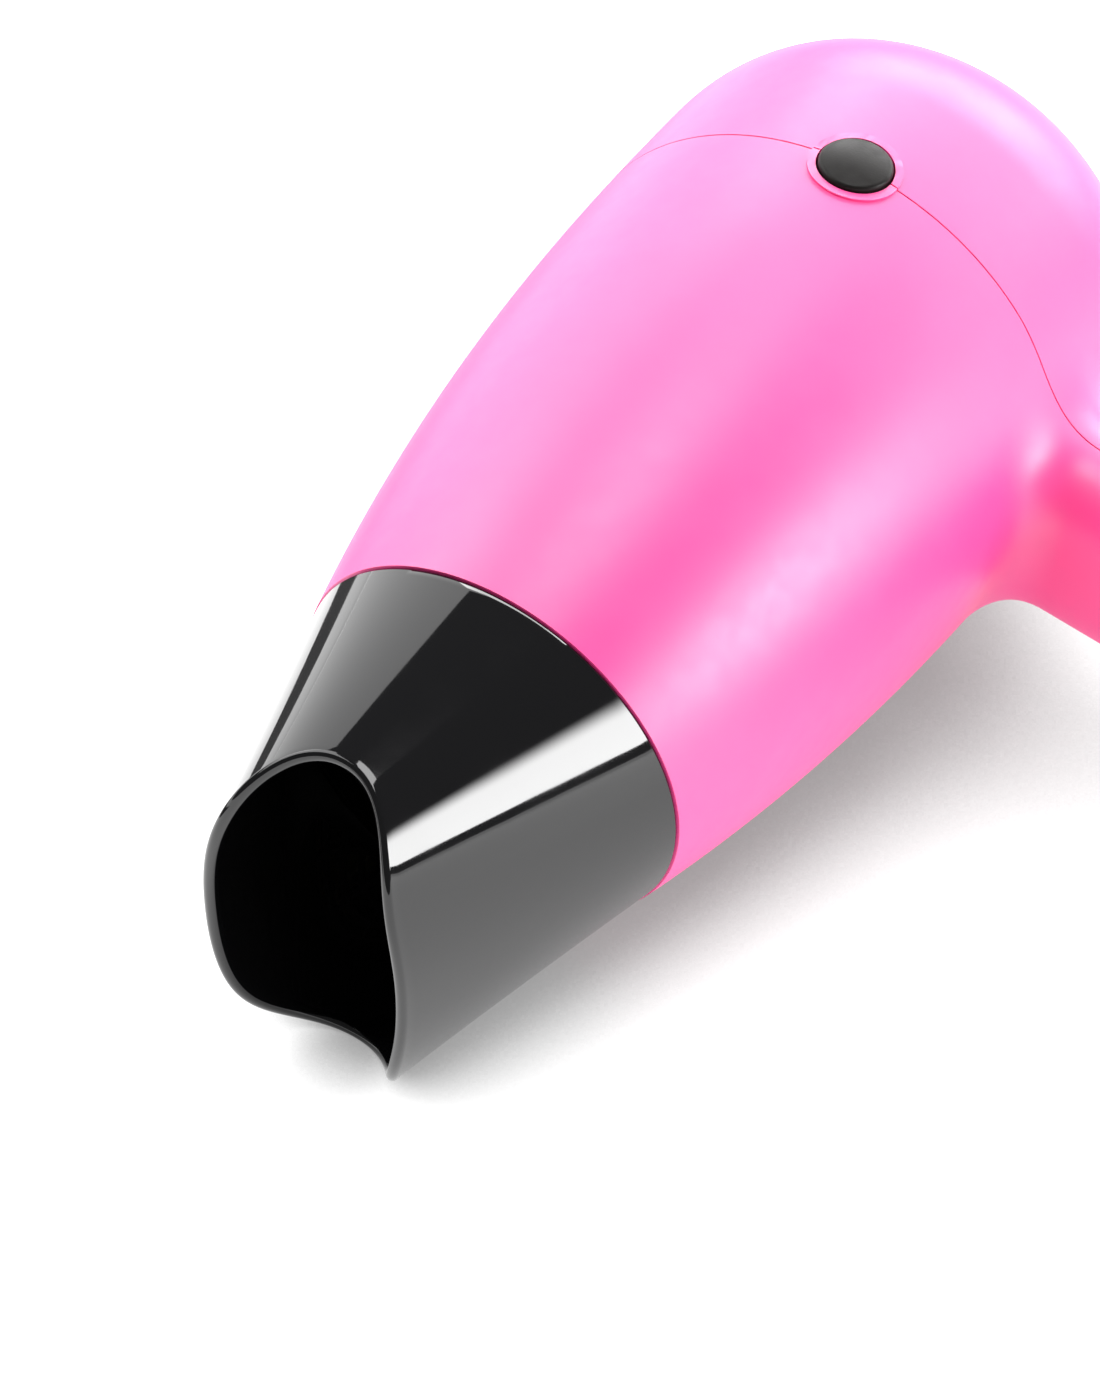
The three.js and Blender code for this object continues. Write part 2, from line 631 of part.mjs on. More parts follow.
const SLIDER_S = 99;            // middle of the slider when off
const SLIDER_TRAVEL = 8;
const SLIDER_HALF_LENGTH = 7;
const SELECTOR_S = 121;
const SELECTOR_RADIUS = 4.4;
const SELECTOR_SEAT = -6.5;
const FRONT_FACE = handleHalf(SLIDER_S)[0];
const LOOP_U = -7.2;            // the hanging loop's pivot, behind the cord gland
const LOOP_S = HANDLE_END + 2.6;
const LOOP_BAR = 2.4;
const LUG_RADIUS = 2.5;

function handleShell() {
  const ends = steps(HANDLE_END - HANDLE_END_ROUND, HANDLE_END, 3);
  const skin = toSolid(handleSkin([...steps(HANDLE_START, 140, 5), ...ends], 0));
  const tongueBox = new THREE.Shape();
  tongueBox.moveTo(-TONGUE_RADIUS, HANDLE_START + 3);
  tongueBox.lineTo(-TONGUE_RADIUS, HINGE_S);
  tongueBox.absarc(0, HINGE_S, TONGUE_RADIUS, Math.PI, 2 * Math.PI, false);
  tongueBox.lineTo(TONGUE_RADIUS, HANDLE_START + 3);
  const tonguePlate = new THREE.ExtrudeGeometry(tongueBox, {
    depth: 2 * TONGUE_HALF_WIDTH, bevelEnabled: false, curveSegments: 12,
  }).rotateX(-Math.PI / 2).translate(0, -TONGUE_HALF_WIDTH, 0);
  const tongue = common(
    tonguePlate,
    loft([40, HANDLE_START + 4].map((s) => gripRing(s, NECK_HALF_DEPTH, NECK_HALF_WIDTH))));
  const hollow = toSolid(
    handleSkin([...steps(HANDLE_START + WALL, 140, 3), HANDLE_END - WALL], WALL));
  const [slotLow, slotHigh] = [SLIDER_S - SLIDER_TRAVEL - SLIDER_HALF_LENGTH - 1, SLIDER_S + 8];
  const pad = block([FRONT_FACE - 3.2, -7, -slotHigh - 2], [FRONT_FACE - 1, 7, -slotLow + 2]);
  const lug = join(
    block([LOOP_U - LUG_RADIUS, -2, -LOOP_S], [LOOP_U + LUG_RADIUS, 2, -HANDLE_END + 2]),
    rod(LUG_RADIUS, [LOOP_U, -2, -LOOP_S], [LOOP_U, 2, -LOOP_S]));
  const bosses = Object.values(HANDLE_SCREWS).map(
    (s) => screwBoss(s, handleHalf(s)[0] - 0.5));
  const holes = Object.values(HANDLE_SCREWS).map(screwHole);
  return cut(
    join(cut(join(skin, tongue), hollow), pad, lug, ...bosses),
    ...holes,
    pinBore(),
    rod(1.6, [-5.2, 0, -HINGE_S + 15], [-5.2, 0, -HANDLE_START - 3], 12),
    block([FRONT_FACE - 1.2, -5, -slotHigh], [20, 5, -slotLow]),
    block([FRONT_FACE - 5, -2.1, -SLIDER_S - 2.4], [20, 2.1, -SLIDER_S + SLIDER_TRAVEL + 2.4]),
    rod(SELECTOR_RADIUS + GAP, [-20, 0, -SELECTOR_S], [SELECTOR_SEAT, 0, -SELECTOR_S]),
    rod(GLAND_RADIUS + GAP, [0, 0, -HANDLE_END + 6], [0, 0, -HANDLE_END - 5]),
    rod(1.9, [LOOP_U, -5, -LOOP_S], [LOOP_U, 5, -LOOP_S]));
}

const handleWhole = handleShell();
piece('handle_front', common(
  handleWhole, block([SEAM_GAP, -30, -200], [30, 30, 0])), PINK, handle);
piece('handle_rear', common(
  handleWhole, block([-30, -30, -200], [-SEAM_GAP, 30, 0])), PINK, handle);
for (const [name, s] of Object.entries(HANDLE_SCREWS)) {
  piece(name, screw(s), STEEL, handle);
}

// ---------------------------------------------------------------- switches

function speedSlider() {
  const [base, top] = [FRONT_FACE - 0.9, FRONT_FACE + 1.2];
  const [low, high] = [-SLIDER_S - SLIDER_HALF_LENGTH, -SLIDER_S + SLIDER_HALF_LENGTH];
  const ridges = steps(low + 2, high - 2, 4).map((z) => block(
    [top - 0.3, -4, z - 0.5], [top + 0.7, 4, z + 0.5]));
  return join(
    block([base, -4.6, low], [top, 4.6, high]), ...ridges,
    block([FRONT_FACE - 3.4, -1.7, -SLIDER_S - 2], [base + 0.3, 1.7, -SLIDER_S + 2]));
}
piece('speed_slider', speedSlider(), BLACK_SATIN, handle);
piece('speed_switch', block(
  [-2.5, -5, -SLIDER_S - 8], [FRONT_FACE - 3.7, 5, -SLIDER_S + 14]), DARK_PLASTIC, handle);

function voltageSelector() {
  const face = -handleHalf(SELECTOR_S)[0] + 0.2;
  return cut(
    join(
      rod(SELECTOR_RADIUS, [face, 0, -SELECTOR_S], [SELECTOR_SEAT - 0.5, 0, -SELECTOR_S]),
      rod(
        SELECTOR_RADIUS + 1,
        [SELECTOR_SEAT - 0.7, 0, -SELECTOR_S], [SELECTOR_SEAT + 0.3, 0, -SELECTOR_S]),
      rod(1.5, [-6.4, 0, -SELECTOR_S], [-4, 0, -SELECTOR_S], 12)),
    block([face - 1, -0.6, -SELECTOR_S - 3.6], [face + 1, 0.6, -SELECTOR_S + 3.6]));
}
piece('voltage_selector', voltageSelector(), BLACK_SATIN, handle);
piece('voltage_switch', block(
  [-3.7, -5, -SELECTOR_S - 6], [3, 5, -SELECTOR_S + 6]), DARK_PLASTIC, handle);

// ---------------------------------------------------------------- cord gland, hanging loop

piece('cord_gland', cut(
  join(
    rod(GLAND_RADIUS + 1, [0, 0, -HANDLE_END + 3.5], [0, 0, -HANDLE_END + 2.3]),
    rod(GLAND_RADIUS, [0, 0, -HANDLE_END + 3], [0, 0, -HANDLE_END - 1.5])),
  rod(CORD_HOLE_RADIUS, [0, 0, -HANDLE_END + 10], [0, 0, -HANDLE_END - 10])), BLACK_RUBBER, handle);

// A flat D-shaped loop whose straight bar passes through the lug on the handle's end.
function hangingLoop() {
  const [half, reach] = [8, 15];
  const bar = LOOP_BAR / 2;
  const outline = new THREE.Shape();
  outline.moveTo(-half, bar);
  outline.lineTo(-half, -reach + half);
  outline.absarc(0, -reach + half, half, Math.PI, 2 * Math.PI, false);
  outline.lineTo(half, bar);
  const eye = new THREE.Path();
  eye.moveTo(-half + LOOP_BAR, -bar);
  eye.lineTo(-half + LOOP_BAR, -reach + half);
  eye.absarc(0, -reach + half, half - LOOP_BAR, Math.PI, 2 * Math.PI, false);
  eye.lineTo(half - LOOP_BAR, -bar);
  outline.holes.push(eye);
  const plate = new THREE.ExtrudeGeometry(outline, {
    depth: LOOP_BAR, bevelEnabled: false, curveSegments: 10,
  });
  return plate.translate(0, 0, -bar).rotateX(Math.PI / 2).rotateZ(Math.PI / 2)
    .translate(LOOP_U, 0, -LOOP_S);
}
piece('hanging_loop', hangingLoop(), BLACK_SATIN, handle);

// ---------------------------------------------------------------- resting pose

const rest = new THREE.Group();
rest.add(dryer);
dryer.rotation.set(
  THREE.MathUtils.degToRad(90 - REST_ROLL), THREE.MathUtils.degToRad(REST_PITCH), 0, 'YXZ');
const reach = new THREE.Box3().setFromObject(dryer, true);
const centre = reach.getCenter(new THREE.Vector3());
dryer.position.set(-centre.x, -centre.y, -reach.min.z);

export default rest;
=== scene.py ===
import json
import math

import bpy
import numpy as np
from mathutils import Matrix, Vector

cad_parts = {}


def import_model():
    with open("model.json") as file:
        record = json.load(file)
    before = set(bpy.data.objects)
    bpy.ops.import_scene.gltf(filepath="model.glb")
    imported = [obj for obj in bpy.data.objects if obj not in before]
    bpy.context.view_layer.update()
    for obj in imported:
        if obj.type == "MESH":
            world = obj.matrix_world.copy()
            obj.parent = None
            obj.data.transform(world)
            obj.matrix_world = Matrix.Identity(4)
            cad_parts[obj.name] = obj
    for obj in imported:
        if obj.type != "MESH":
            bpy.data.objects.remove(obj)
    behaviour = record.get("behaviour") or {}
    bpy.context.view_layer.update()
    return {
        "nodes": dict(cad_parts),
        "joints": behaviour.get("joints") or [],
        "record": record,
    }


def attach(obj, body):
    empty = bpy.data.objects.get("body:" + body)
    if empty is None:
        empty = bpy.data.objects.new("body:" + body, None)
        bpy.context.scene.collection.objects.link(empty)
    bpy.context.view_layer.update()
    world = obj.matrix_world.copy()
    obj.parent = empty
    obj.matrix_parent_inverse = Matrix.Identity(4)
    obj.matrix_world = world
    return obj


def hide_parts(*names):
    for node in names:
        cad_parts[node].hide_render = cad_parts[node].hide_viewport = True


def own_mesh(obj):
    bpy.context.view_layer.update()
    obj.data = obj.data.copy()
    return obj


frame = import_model()

# ---------------------------------------------------------------- dimensions, millimetres

MM = 0.001
GAP = 0.3
TOOL_REACH = 20.0

# barrel
BARREL_RADIUS = 34.2
WAIST_X = -15.0
MOUTH_X = 71.7
MOUTH_RADIUS = 24.4
TAPER_POWER = 2.33
DOME_X = -42.0
DOME_POWER = 2.2
AXIS_RADIUS = 0.05
GRILLE_X = -33.0
WALL = 2.0
SEAM_GAP = 0.1
SEAM_EDGE = 0.16

# neck and handle
NECK_DEPTH = 9.5
NECK_WIDTH = 12.05
GRIP_POWER = 2.4
NECK_BLEND = 6.1
NECK_OVERRUN = 12.0
HINGE_S = 60.0
EAR_RADIUS = 9.5
TONGUE_RADIUS = 9.2
TONGUE_HALF = 7.9
SLOT_HALF = 8.2
PIN_RADIUS = 2.0
CAP_RADIUS = 4.8
CAP_BACK = 10.1
CAP_FACE = 12.2
CAP_RIM = 0.6
CAP_DISH = 0.35
CAP_GAP = 0.2
HANDLE_START = HINGE_S + 9.9
HANDLE_END = 150.0
HANDLE_SWELL = 1.1
HANDLE_END_ROUND = 3.0

# nozzle
SWIVEL_X = 73.0
NOZZLE_X = 72.0
NOZZLE_RADIUS = 24.2
NOZZLE_WALL = 1.5
NOZZLE_BASE_EASE = 0.12
NOZZLE_SIDES = 200
LIP_X = 107.2
NOZZLE_LENGTH = LIP_X - NOZZLE_X
NOTCH_DEPTH = 8.3
NOTCH_POWER = 4.3
SLOT_HALF_LENGTH = 23.6
SLOT_HALF_WIDTH = 12.7
SLOT_POWER = 2.17
NOZZLE_TURN = 4.9

# discs on the seam ring
DISC_RADIUS = 4.4
DISC_TOP = 35.1
DISC_CROWN = 0.35
DISC_EDGE = 0.55
DISC_GAP = 0.25
BOSS_RADIUS = 5.6
BOSS_RISE = 0.3
FLANGE_RADIUS = 5.6
FLANGE_BACK = 3.9
FLANGE_THICKNESS = 0.9
STEM_RADIUS = 1.2
SPRING_SEAT = 28.0
SPRING_RADIUS = 2.4
SPRING_WIRE = 0.25
SPRING_TURNS = 3

# inside the mouth
MOUTH_BORE = 20.6
SPIGOT_RADIUS = 20.2
AIR_RADIUS = 17.8
SHELF_BORE = 19.6
SHELF_RADIUS = 21.4
COLLAR_RADIUS = 21.8
NOZZLE_SHELF = 2.0
LINER_RADIUS = 24.6

# inlet grille
GRILLE_WALL = 1.6
GRILLE_SLOTS = 10
SLOT_HALF_THICKNESS = 1.2
SLOT_SPAN = (8.0, 20.5)
SKIRT_END = -28.0
FILTER_PITCH = 1.6
FILTER_WIRE = 0.16
FILTER_X = -29.6
FILTER_FRAME = 1.6

# handle fittings
SCREWS = {"neck_screw": 43.0, "handle_screw_upper": 80.0, "handle_screw_lower": 139.0}
SCREW_HEAD = 2.5
SCREW_SEAT = -6.5
SCREW_HOLE = 1.5
SCREW_SHANK = 1.2
SCREW_TIP = 5.0
SLIDER_S = 99.0
SLIDER_TRAVEL = 8.0
SLIDER_HALF = 7.0
SLIDER_RIDGES = 5
SELECTOR_S = 121.0
SELECTOR_RADIUS = 4.4
GLAND_RADIUS = 4.6
CORD_HOLE_RADIUS = 3.6
LOOP_U = -7.2
LOOP_S = HANDLE_END + 2.6
LOOP_BAR = 2.4
LOOP_HALF = 8.0
LOOP_REACH = 15.0
LOOP_CORNER = 1.6
LUG_RADIUS = 2.5
LUG_HALF = 2.0

# ---------------------------------------------------------------- frames, from the joints

JOINTS = {joint["name"]: joint for joint in frame["joints"]}


def joint_axis(name):
    return Vector(JOINTS[name]["axis"]).normalized()


def joint_place(name):
    return Vector(JOINTS[name]["pos_m"])


def placement(x, y, z, origin):
    """From millimetres in a piece's own frame to metres in the row frame."""
    turn = Matrix((x, y, z)).transposed().to_4x4()
    return Matrix.Translation(origin) @ turn @ Matrix.Scale(MM, 4)


FORWARD = joint_axis("nozzle_pull")
LEFT = -joint_axis("cool_shot_press")
BARREL_CENTRE = joint_place("nozzle_swivel") - FORWARD * SWIVEL_X * MM
BARREL = placement(FORWARD, LEFT, FORWARD.cross(LEFT), BARREL_CENTRE)
GRIP_UP = joint_axis("speed_slide_travel")
GRIP_SIDE = -joint_axis("handle_fold")
HANDLE = placement(
    GRIP_SIDE.cross(GRIP_UP), GRIP_SIDE, GRIP_UP, joint_place("handle_fold") + GRIP_UP * HINGE_S * MM
)
NOZZLE = BARREL @ Matrix.Rotation(math.radians(NOZZLE_TURN), 4, "X")
HANDLE_IN_BARREL = BARREL.inverted() @ HANDLE


def moved(points, matrix):
    m = np.array(matrix)
    return np.asarray(points, float) @ m[:3, :3].T + m[:3, 3]


# ---------------------------------------------------------------- meshes

SMOOTH_ANGLE = 32
BEVEL_ANGLE = 40
TURN_OFFSET = 0.013


def make_object(name, points, faces, place):
    mesh = bpy.data.meshes.new(name)
    mesh.from_pydata([tuple(p) for p in moved(points, place)], [], faces)
    mesh.validate()
    obj = bpy.data.objects.new(name, mesh)
    bpy.context.scene.collection.objects.link(obj)
    return obj


def smooth(obj):
    obj.data.polygons.foreach_set("use_smooth", [True] * len(obj.data.polygons))
    obj.data.set_sharp_from_angle(angle=math.radians(SMOOTH_ANGLE))


def skin(rings, closed=False):
    """Points and faces of a skin through rings of points, capped at both ends or closed."""
    rings = np.asarray(rings, float)
    rows, sides = rings.shape[:2]
    ids = np.arange(rows * sides).reshape(rows, sides)
    faces = []
    for r in range(rows if closed else rows - 1):
        here, there = ids[r], ids[(r + 1) % rows]
        for i in range(sides):
            j = (i + 1) % sides
            faces.append((here[i], here[j], there[j], there[i]))
    if not closed:
        faces.append(tuple(ids[0][::-1]))
        faces.append(tuple(ids[-1]))
    return rings.reshape(-1, 3), [tuple(int(v) for v in f) for f in faces]


def outward(points, faces):
    """The faces, turned over if they face in."""
    p = np.asarray(points)
    volume = sum(
        np.dot(p[f[0]], np.cross(p[f[k]], p[f[k + 1]])) for f in faces for k in range(1, len(f) - 1)
    )
    return faces if volume > 0 else [tuple(reversed(f)) for f in faces]


def skin_object(name, rings, place, closed=False):
    points, faces = skin(rings, closed)
    return make_object(name, points, outward(points, faces), place)


def circle_angles(count):
    return np.arange(count) * 2 * math.pi / count


def turned(outline, sides, axis="x"):
    """Rings of a solid turned about an axis. The outline's points are (along, radius).

    The small offset keeps its edges off those of other pieces, for clean cuts."""
    angles = circle_angles(sides) + TURN_OFFSET
    rings = []
    for along, radius in outline:
        a, b = radius * np.cos(angles), radius * np.sin(angles)
        level = np.full(sides, along)
        rings.append(np.stack({"x": (level, a, b), "y": (b, level, a), "z": (a, b, level)}[axis], 1))
    return np.array(rings)


def superellipse(angles, half_x, half_y, power):
    c, s = np.cos(angles), np.sin(angles)
    return (
        half_x * np.sign(c) * np.abs(c) ** (2 / power),
        half_y * np.sign(s) * np.abs(s) ** (2 / power),
    )


def block(low, high):
    low, high = np.array(low, float), np.array(high, float)
    corners = [(low[0], low[1]), (high[0], low[1]), (high[0], high[1]), (low[0], high[1])]
    return np.array([[(x, y, z) for x, y in corners] for z in (low[2], high[2])])


def prism(outline, low, high):
    """Rings of a flat outline of (x, z) points, drawn out along y."""
    return np.array([[(x, y, z) for x, z in outline] for y in (low, high)])


def arc(centre, radius, start, end, count):
    angles = np.radians(np.linspace(start, end, count))
    return [(centre[0] + radius * math.cos(a), centre[1] + radius * math.sin(a)) for a in angles]


def stadium(along_x, half, span_z):
    """Rings of a slot with round ends, drawn out along x and reaching along z."""
    low, high = span_z
    ends = arc((0, high - half), half, 0, 180, 9) + arc((0, low + half), half, 180, 360, 9)
    return np.array([[(x, y, z) for y, z in ends] for x in along_x])


def evaluated(obj):
    """Applies the object's modifiers."""
    bpy.context.view_layer.update()
    graph = bpy.context.evaluated_depsgraph_get()
    mesh = bpy.data.meshes.new_from_object(obj.evaluated_get(graph))
    old = obj.data
    obj.modifiers.clear()
    obj.data = mesh
    bpy.data.meshes.remove(old)


def combine(obj, operation, tools):
    for tool in tools:
        modifier = obj.modifiers.new("combine", "BOOLEAN")
        modifier.operation = operation
        modifier.object = tool
        modifier.solver = "EXACT"
    evaluated(obj)
    for tool in tools:
        bpy.data.objects.remove(tool)
    return obj


def cut(obj, *tools):
    return combine(obj, "DIFFERENCE", tools)


def join(obj, *tools):
    return combine(obj, "UNION", tools)


def bevel(obj, width, segments=2):
    modifier = obj.modifiers.new("bevel", "BEVEL")
    modifier.width = width * MM
    modifier.segments = segments
    modifier.limit_method = "ANGLE"
    modifier.angle_limit = math.radians(BEVEL_ANGLE)
    evaluated(obj)


# ---------------------------------------------------------------- barrel and neck surface


def barrel_radius(x):
    x = np.asarray(x, float)
    front = np.clip((x - WAIST_X) / (MOUTH_X - WAIST_X), 0, 2)
    rear = np.clip((WAIST_X - x) / (WAIST_X - DOME_X), 0, 0.9999)
    taper = BARREL_RADIUS - (BARREL_RADIUS - MOUTH_RADIUS) * front**TAPER_POWER
    dome = BARREL_RADIUS * (1 - rear**DOME_POWER) ** (1 / DOME_POWER)
    return np.where(x >= WAIST_X, taper, dome)


def barrel_field(p):
    step = 0.05
    slope = (barrel_radius(p[:, 0] + step) - barrel_radius(p[:, 0] - step)) / (2 * step)
    rise = np.hypot(p[:, 1], p[:, 2]) - barrel_radius(p[:, 0])
    return rise / np.sqrt(1 + np.minimum(slope**2, 9))


def neck_field(p):
    local = moved(p, HANDLE_IN_BARREL.inverted())
    u, v = np.abs(local[:, 0]) / NECK_DEPTH, np.abs(local[:, 1]) / NECK_WIDTH
    reach = (u**GRIP_POWER + v**GRIP_POWER) ** (1 / GRIP_POWER)
    return np.where(local[:, 2] < 0, (reach - 1) * NECK_DEPTH, 50.0)


def housing_field(p):
    """Signed distance, nearly: the barrel and the neck with a smooth fillet between them."""
    a, b = barrel_field(p), neck_field(p)
    h = np.clip(0.5 + 0.5 * (b - a) / NECK_BLEND, 0, 1)
    return b * (1 - h) + a * h - NECK_BLEND * h * (1 - h)


def field_gradient(p, field):
    step = 1e-3
    parts = [
        (field(p + step * e) - field(p - step * e)) / (2 * step) for e in np.eye(3)
    ]
    return np.stack(parts, 1)


def settled(p, field, rounds=6):
    """Points moved onto the field's zero surface."""
    for _ in range(rounds):
        g = field_gradient(p, field)
        length = np.maximum((g**2).sum(1), 0.05)
        p = p - g * np.clip(field(p) / length, -1.5, 1.5)[:, None]
    return p


SIDES = 192
ROOT_HALF_X = 18.0
ROOT_HALF_COLUMNS = 20
ROOT_FIRST = 13
ROOT_LAST = 37
LEAN_SLOPE = -HANDLE_IN_BARREL[0][2] / HANDLE_IN_BARREL[2][2]
SEAM_BEND_Z = HANDLE_IN_BARREL.translation.x / LEAN_SLOPE


def seam_x(z):
    """Where the seam lies along the barrel: at 0, then on the neck's middle plane."""
    return np.maximum(0, (SEAM_BEND_Z - np.asarray(z)) * LEAN_SLOPE)


def barrel_grid():
    """Rings of points round the barrel. Those near the neck bend with the seam."""
    rows = np.concatenate([
        np.linspace(GRILLE_X, -ROOT_HALF_X, ROOT_FIRST + 1)[:-1],
        np.linspace(-ROOT_HALF_X, ROOT_HALF_X, ROOT_LAST - ROOT_FIRST + 1),
        np.linspace(ROOT_HALF_X, MOUTH_X, 36)[1:],
    ])
    angles = circle_angles(SIDES)
    grid = np.zeros((len(rows), SIDES, 3))
    for r, x in enumerate(rows):
        radius = float(barrel_radius(x))
        z = -radius * np.cos(angles)
        fade = max(0.0, 1 - abs(x) / ROOT_HALF_X)
        grid[r] = np.stack([x + seam_x(z) * fade, radius * np.sin(angles), z], 1)
    return grid


def root_window():
    """The (row, column) places round the window that the barrel's grid leaves for the neck."""
    edge = ROOT_HALF_COLUMNS
    return (
        [(ROOT_FIRST, c) for c in range(-edge, edge)]
        + [(r, edge) for r in range(ROOT_FIRST, ROOT_LAST)]
        + [(ROOT_LAST, c) for c in range(edge, -edge, -1)]
        + [(r, -edge) for r in range(ROOT_LAST, ROOT_FIRST, -1)]
    )


def centred(column):
    """The column's number, counted both ways from the middle of the window."""
    return (column + SIDES // 2) % SIDES - SIDES // 2


def neck_section(window):
    """The neck's section and its outward normals, a point for each place round the window."""
    rows = ROOT_LAST - ROOT_FIRST
    around = np.array([
        math.atan2(c / ROOT_HALF_COLUMNS, (2 * (r - ROOT_FIRST) / rows) - 1) for r, c in window
    ])
    section = np.stack(superellipse(around, NECK_DEPTH, NECK_WIDTH, GRIP_POWER), 1)
    columns = []
    for column, half in zip(section.T, (NECK_DEPTH, NECK_WIDTH)):
        columns.append(np.sign(column) * np.abs(column / half) ** (GRIP_POWER - 1) / half)
    normal = np.stack(columns, 1)
    return section, normal / np.linalg.norm(normal, axis=1)[:, None]


def on_barrel(uv):
    depth = np.sqrt(BARREL_RADIUS**2 - uv[:, 1] ** 2)
    return np.column_stack([uv, -depth])


def neck_rings(rim, window):
    """Rings from the window's rim over the fillet and down the neck, settled on the surface."""
    local_rim = moved(rim, HANDLE_IN_BARREL.inverted())
    section, normal = neck_section(window)
    foot = section + normal * NECK_BLEND * 1.1
    rings = []
    for t in np.linspace(0, 1, 8)[1:-1]:
        rings.append(on_barrel(local_rim[:, :2] * (1 - t) + foot * t))
    for t in np.linspace(-1, 1, 13):
        away = NECK_BLEND * ((1 - abs(t)) ** 2 / 4 + max(-t, 0))
        above = NECK_BLEND * ((1 - abs(t)) ** 2 / 4 + max(t, 0))
        ring = on_barrel(section + normal * away)
        ring[:, 2] -= above
        rings.append(ring)
    top = rings[-1]
    end = -(HINGE_S + NECK_OVERRUN)
    for t in np.linspace(0, 1, 20)[1:]:
        ring = top.copy()
        ring[:, 2] = top[:, 2] * (1 - t) + end * t
        rings.append(ring)
    points = moved(np.concatenate(rings), HANDLE_IN_BARREL)
    return settled(points, housing_field).reshape(len(rings), -1, 3)


def windowed_grid(grid):
    """Points and faces of the barrel's grid without the window, and each point's number."""
    edge = ROOT_HALF_COLUMNS
    ids = -np.ones(grid.shape[:2], int)
    points = []
    for r, c in np.ndindex(ids.shape):
        if ROOT_FIRST < r < ROOT_LAST and abs(centred(c)) < edge:
            continue
        ids[r, c] = len(points)
        points.append(grid[r, c])
    faces = []
    for r, c in np.ndindex(len(grid) - 1, SIDES):
        if ROOT_FIRST <= r < ROOT_LAST and -edge <= centred(c) < edge:
            continue
        d = (c + 1) % SIDES
        faces.append((ids[r, c], ids[r, d], ids[r + 1, d], ids[r + 1, c]))
    faces.append(tuple(ids[0][::-1]))
    faces.append(tuple(ids[-1]))
    return points, faces, ids


def housing_skin():
    """The outer surface: a turned grid with a window, and rings from the window down the neck."""
    grid = barrel_grid()
    window = root_window()
    rim = np.array([grid[r, c % SIDES] for r, c in window])
    points, faces, ids = windowed_grid(grid)
    before = [ids[r, c % SIDES] for r, c in window]
    columns = len(window)
    for ring in neck_rings(rim, window):
        here = list(range(len(points), len(points) + columns))
        points.extend(ring)
        for i in range(columns):
            j = (i + 1) % columns
            faces.append((before[i], before[j], here[j], here[i]))
        before = here
    faces.append(tuple(before))
    points = np.array(points)
    return points, outward(points, [tuple(int(v) for v in f) for f in faces])


ON_SURFACE = 0.02
ALIGNED_ANGLE = 20


def mesh_values(items, key, kind, width):
    """One property of all the mesh's items, as rows of that width."""
    values = np.empty(len(items) * width, kind)
    items.foreach_get(key, values)
    return values.reshape(-1, width) if width > 1 else values


def set_field_normals(obj, field, place):
    """Shades the parts of a mesh that lie on a field's surface by the field's own gradient."""
    mesh = obj.data
    local = moved(mesh_values(mesh.vertices, "co", float, 3), place.inverted())
    on_surface = np.abs(field(local)) < ON_SURFACE
    turn = np.array(place.to_3x3().normalized())
    world = field_gradient(local, field) @ turn.T
    world /= np.maximum(np.linalg.norm(world, axis=1), 1e-9)[:, None]
    corners = mesh_values(mesh.loops, "vertex_index", int, 1)
    normals = mesh_values(mesh.corner_normals, "vector", float, 3)
    face_normals = mesh_values(mesh.polygons, "normal", float, 3)
    totals = mesh_values(mesh.polygons, "loop_total", int, 1)
    target = world[corners]
    facing = (target * np.repeat(face_normals, totals, axis=0)).sum(1)
    use = (facing > math.cos(math.radians(ALIGNED_ANGLE))) & on_surface[corners]
    normals[use] = target[use]
    mesh.normals_split_custom_set([tuple(n) for n in normals])


def rod_x(name, outline, s, sides=48):
    """A turned solid along the handle's front-to-back axis, at distance s down the handle."""
    rings = turned(outline, sides, "x")
    rings[:, :, 2] -= s
    return skin_object(name, rings, HANDLE)


def rod_y(name, outline, place, s=0.0, sides=64):
    """A turned solid along the left-to-right axis."""
    rings = turned(outline, sides, "y")
    rings[:, :, 2] -= s
    return skin_object(name, rings, place)


def bore_y(name, radius, place, s=0.0):
    """A tool that bores through from left to right."""
    return rod_y(name, [(-TOOL_REACH, radius), (TOOL_REACH, radius)], place, s)


def screw_hole(s):
    head = SCREW_HEAD + GAP
    outline = [
        (-TOOL_REACH, head), (SCREW_SEAT, head), (SCREW_SEAT, SCREW_HOLE), (SCREW_TIP + GAP, SCREW_HOLE),
    ]
    return rod_x("screw_hole", outline, s)


def seam_cutter(side):
    """Everything on one side of the seam: -1 cuts off the rear, 1 the front."""
    shift = -SEAM_GAP * side
    low = -110.0
    outline = [
        (shift, 60), (150 * side, 60), (150 * side, low),
        (shift + float(seam_x(low)), low), (shift, SEAM_BEND_Z),
    ]
    return skin_object("seam_cutter", prism(outline, -60, 60), BARREL)


def grip_ring(s, depth, width, sides=96):
    x, y = superellipse(circle_angles(sides), depth, width, GRIP_POWER)
    return np.stack([x, y, np.full(sides, -s)], 1)


def disc_boss(side):
    """A low round plateau that follows the barrel's curve."""
    boss = rod_y("boss", [(25 * side, BOSS_RADIUS), (40 * side, BOSS_RADIUS)], BARREL)
    outline = [(x, float(barrel_radius(x)) + BOSS_RISE) for x in np.linspace(-9, 9, 7)]
    return combine(boss, "INTERSECT", [skin_object("cover", turned(outline, 240), BARREL)])


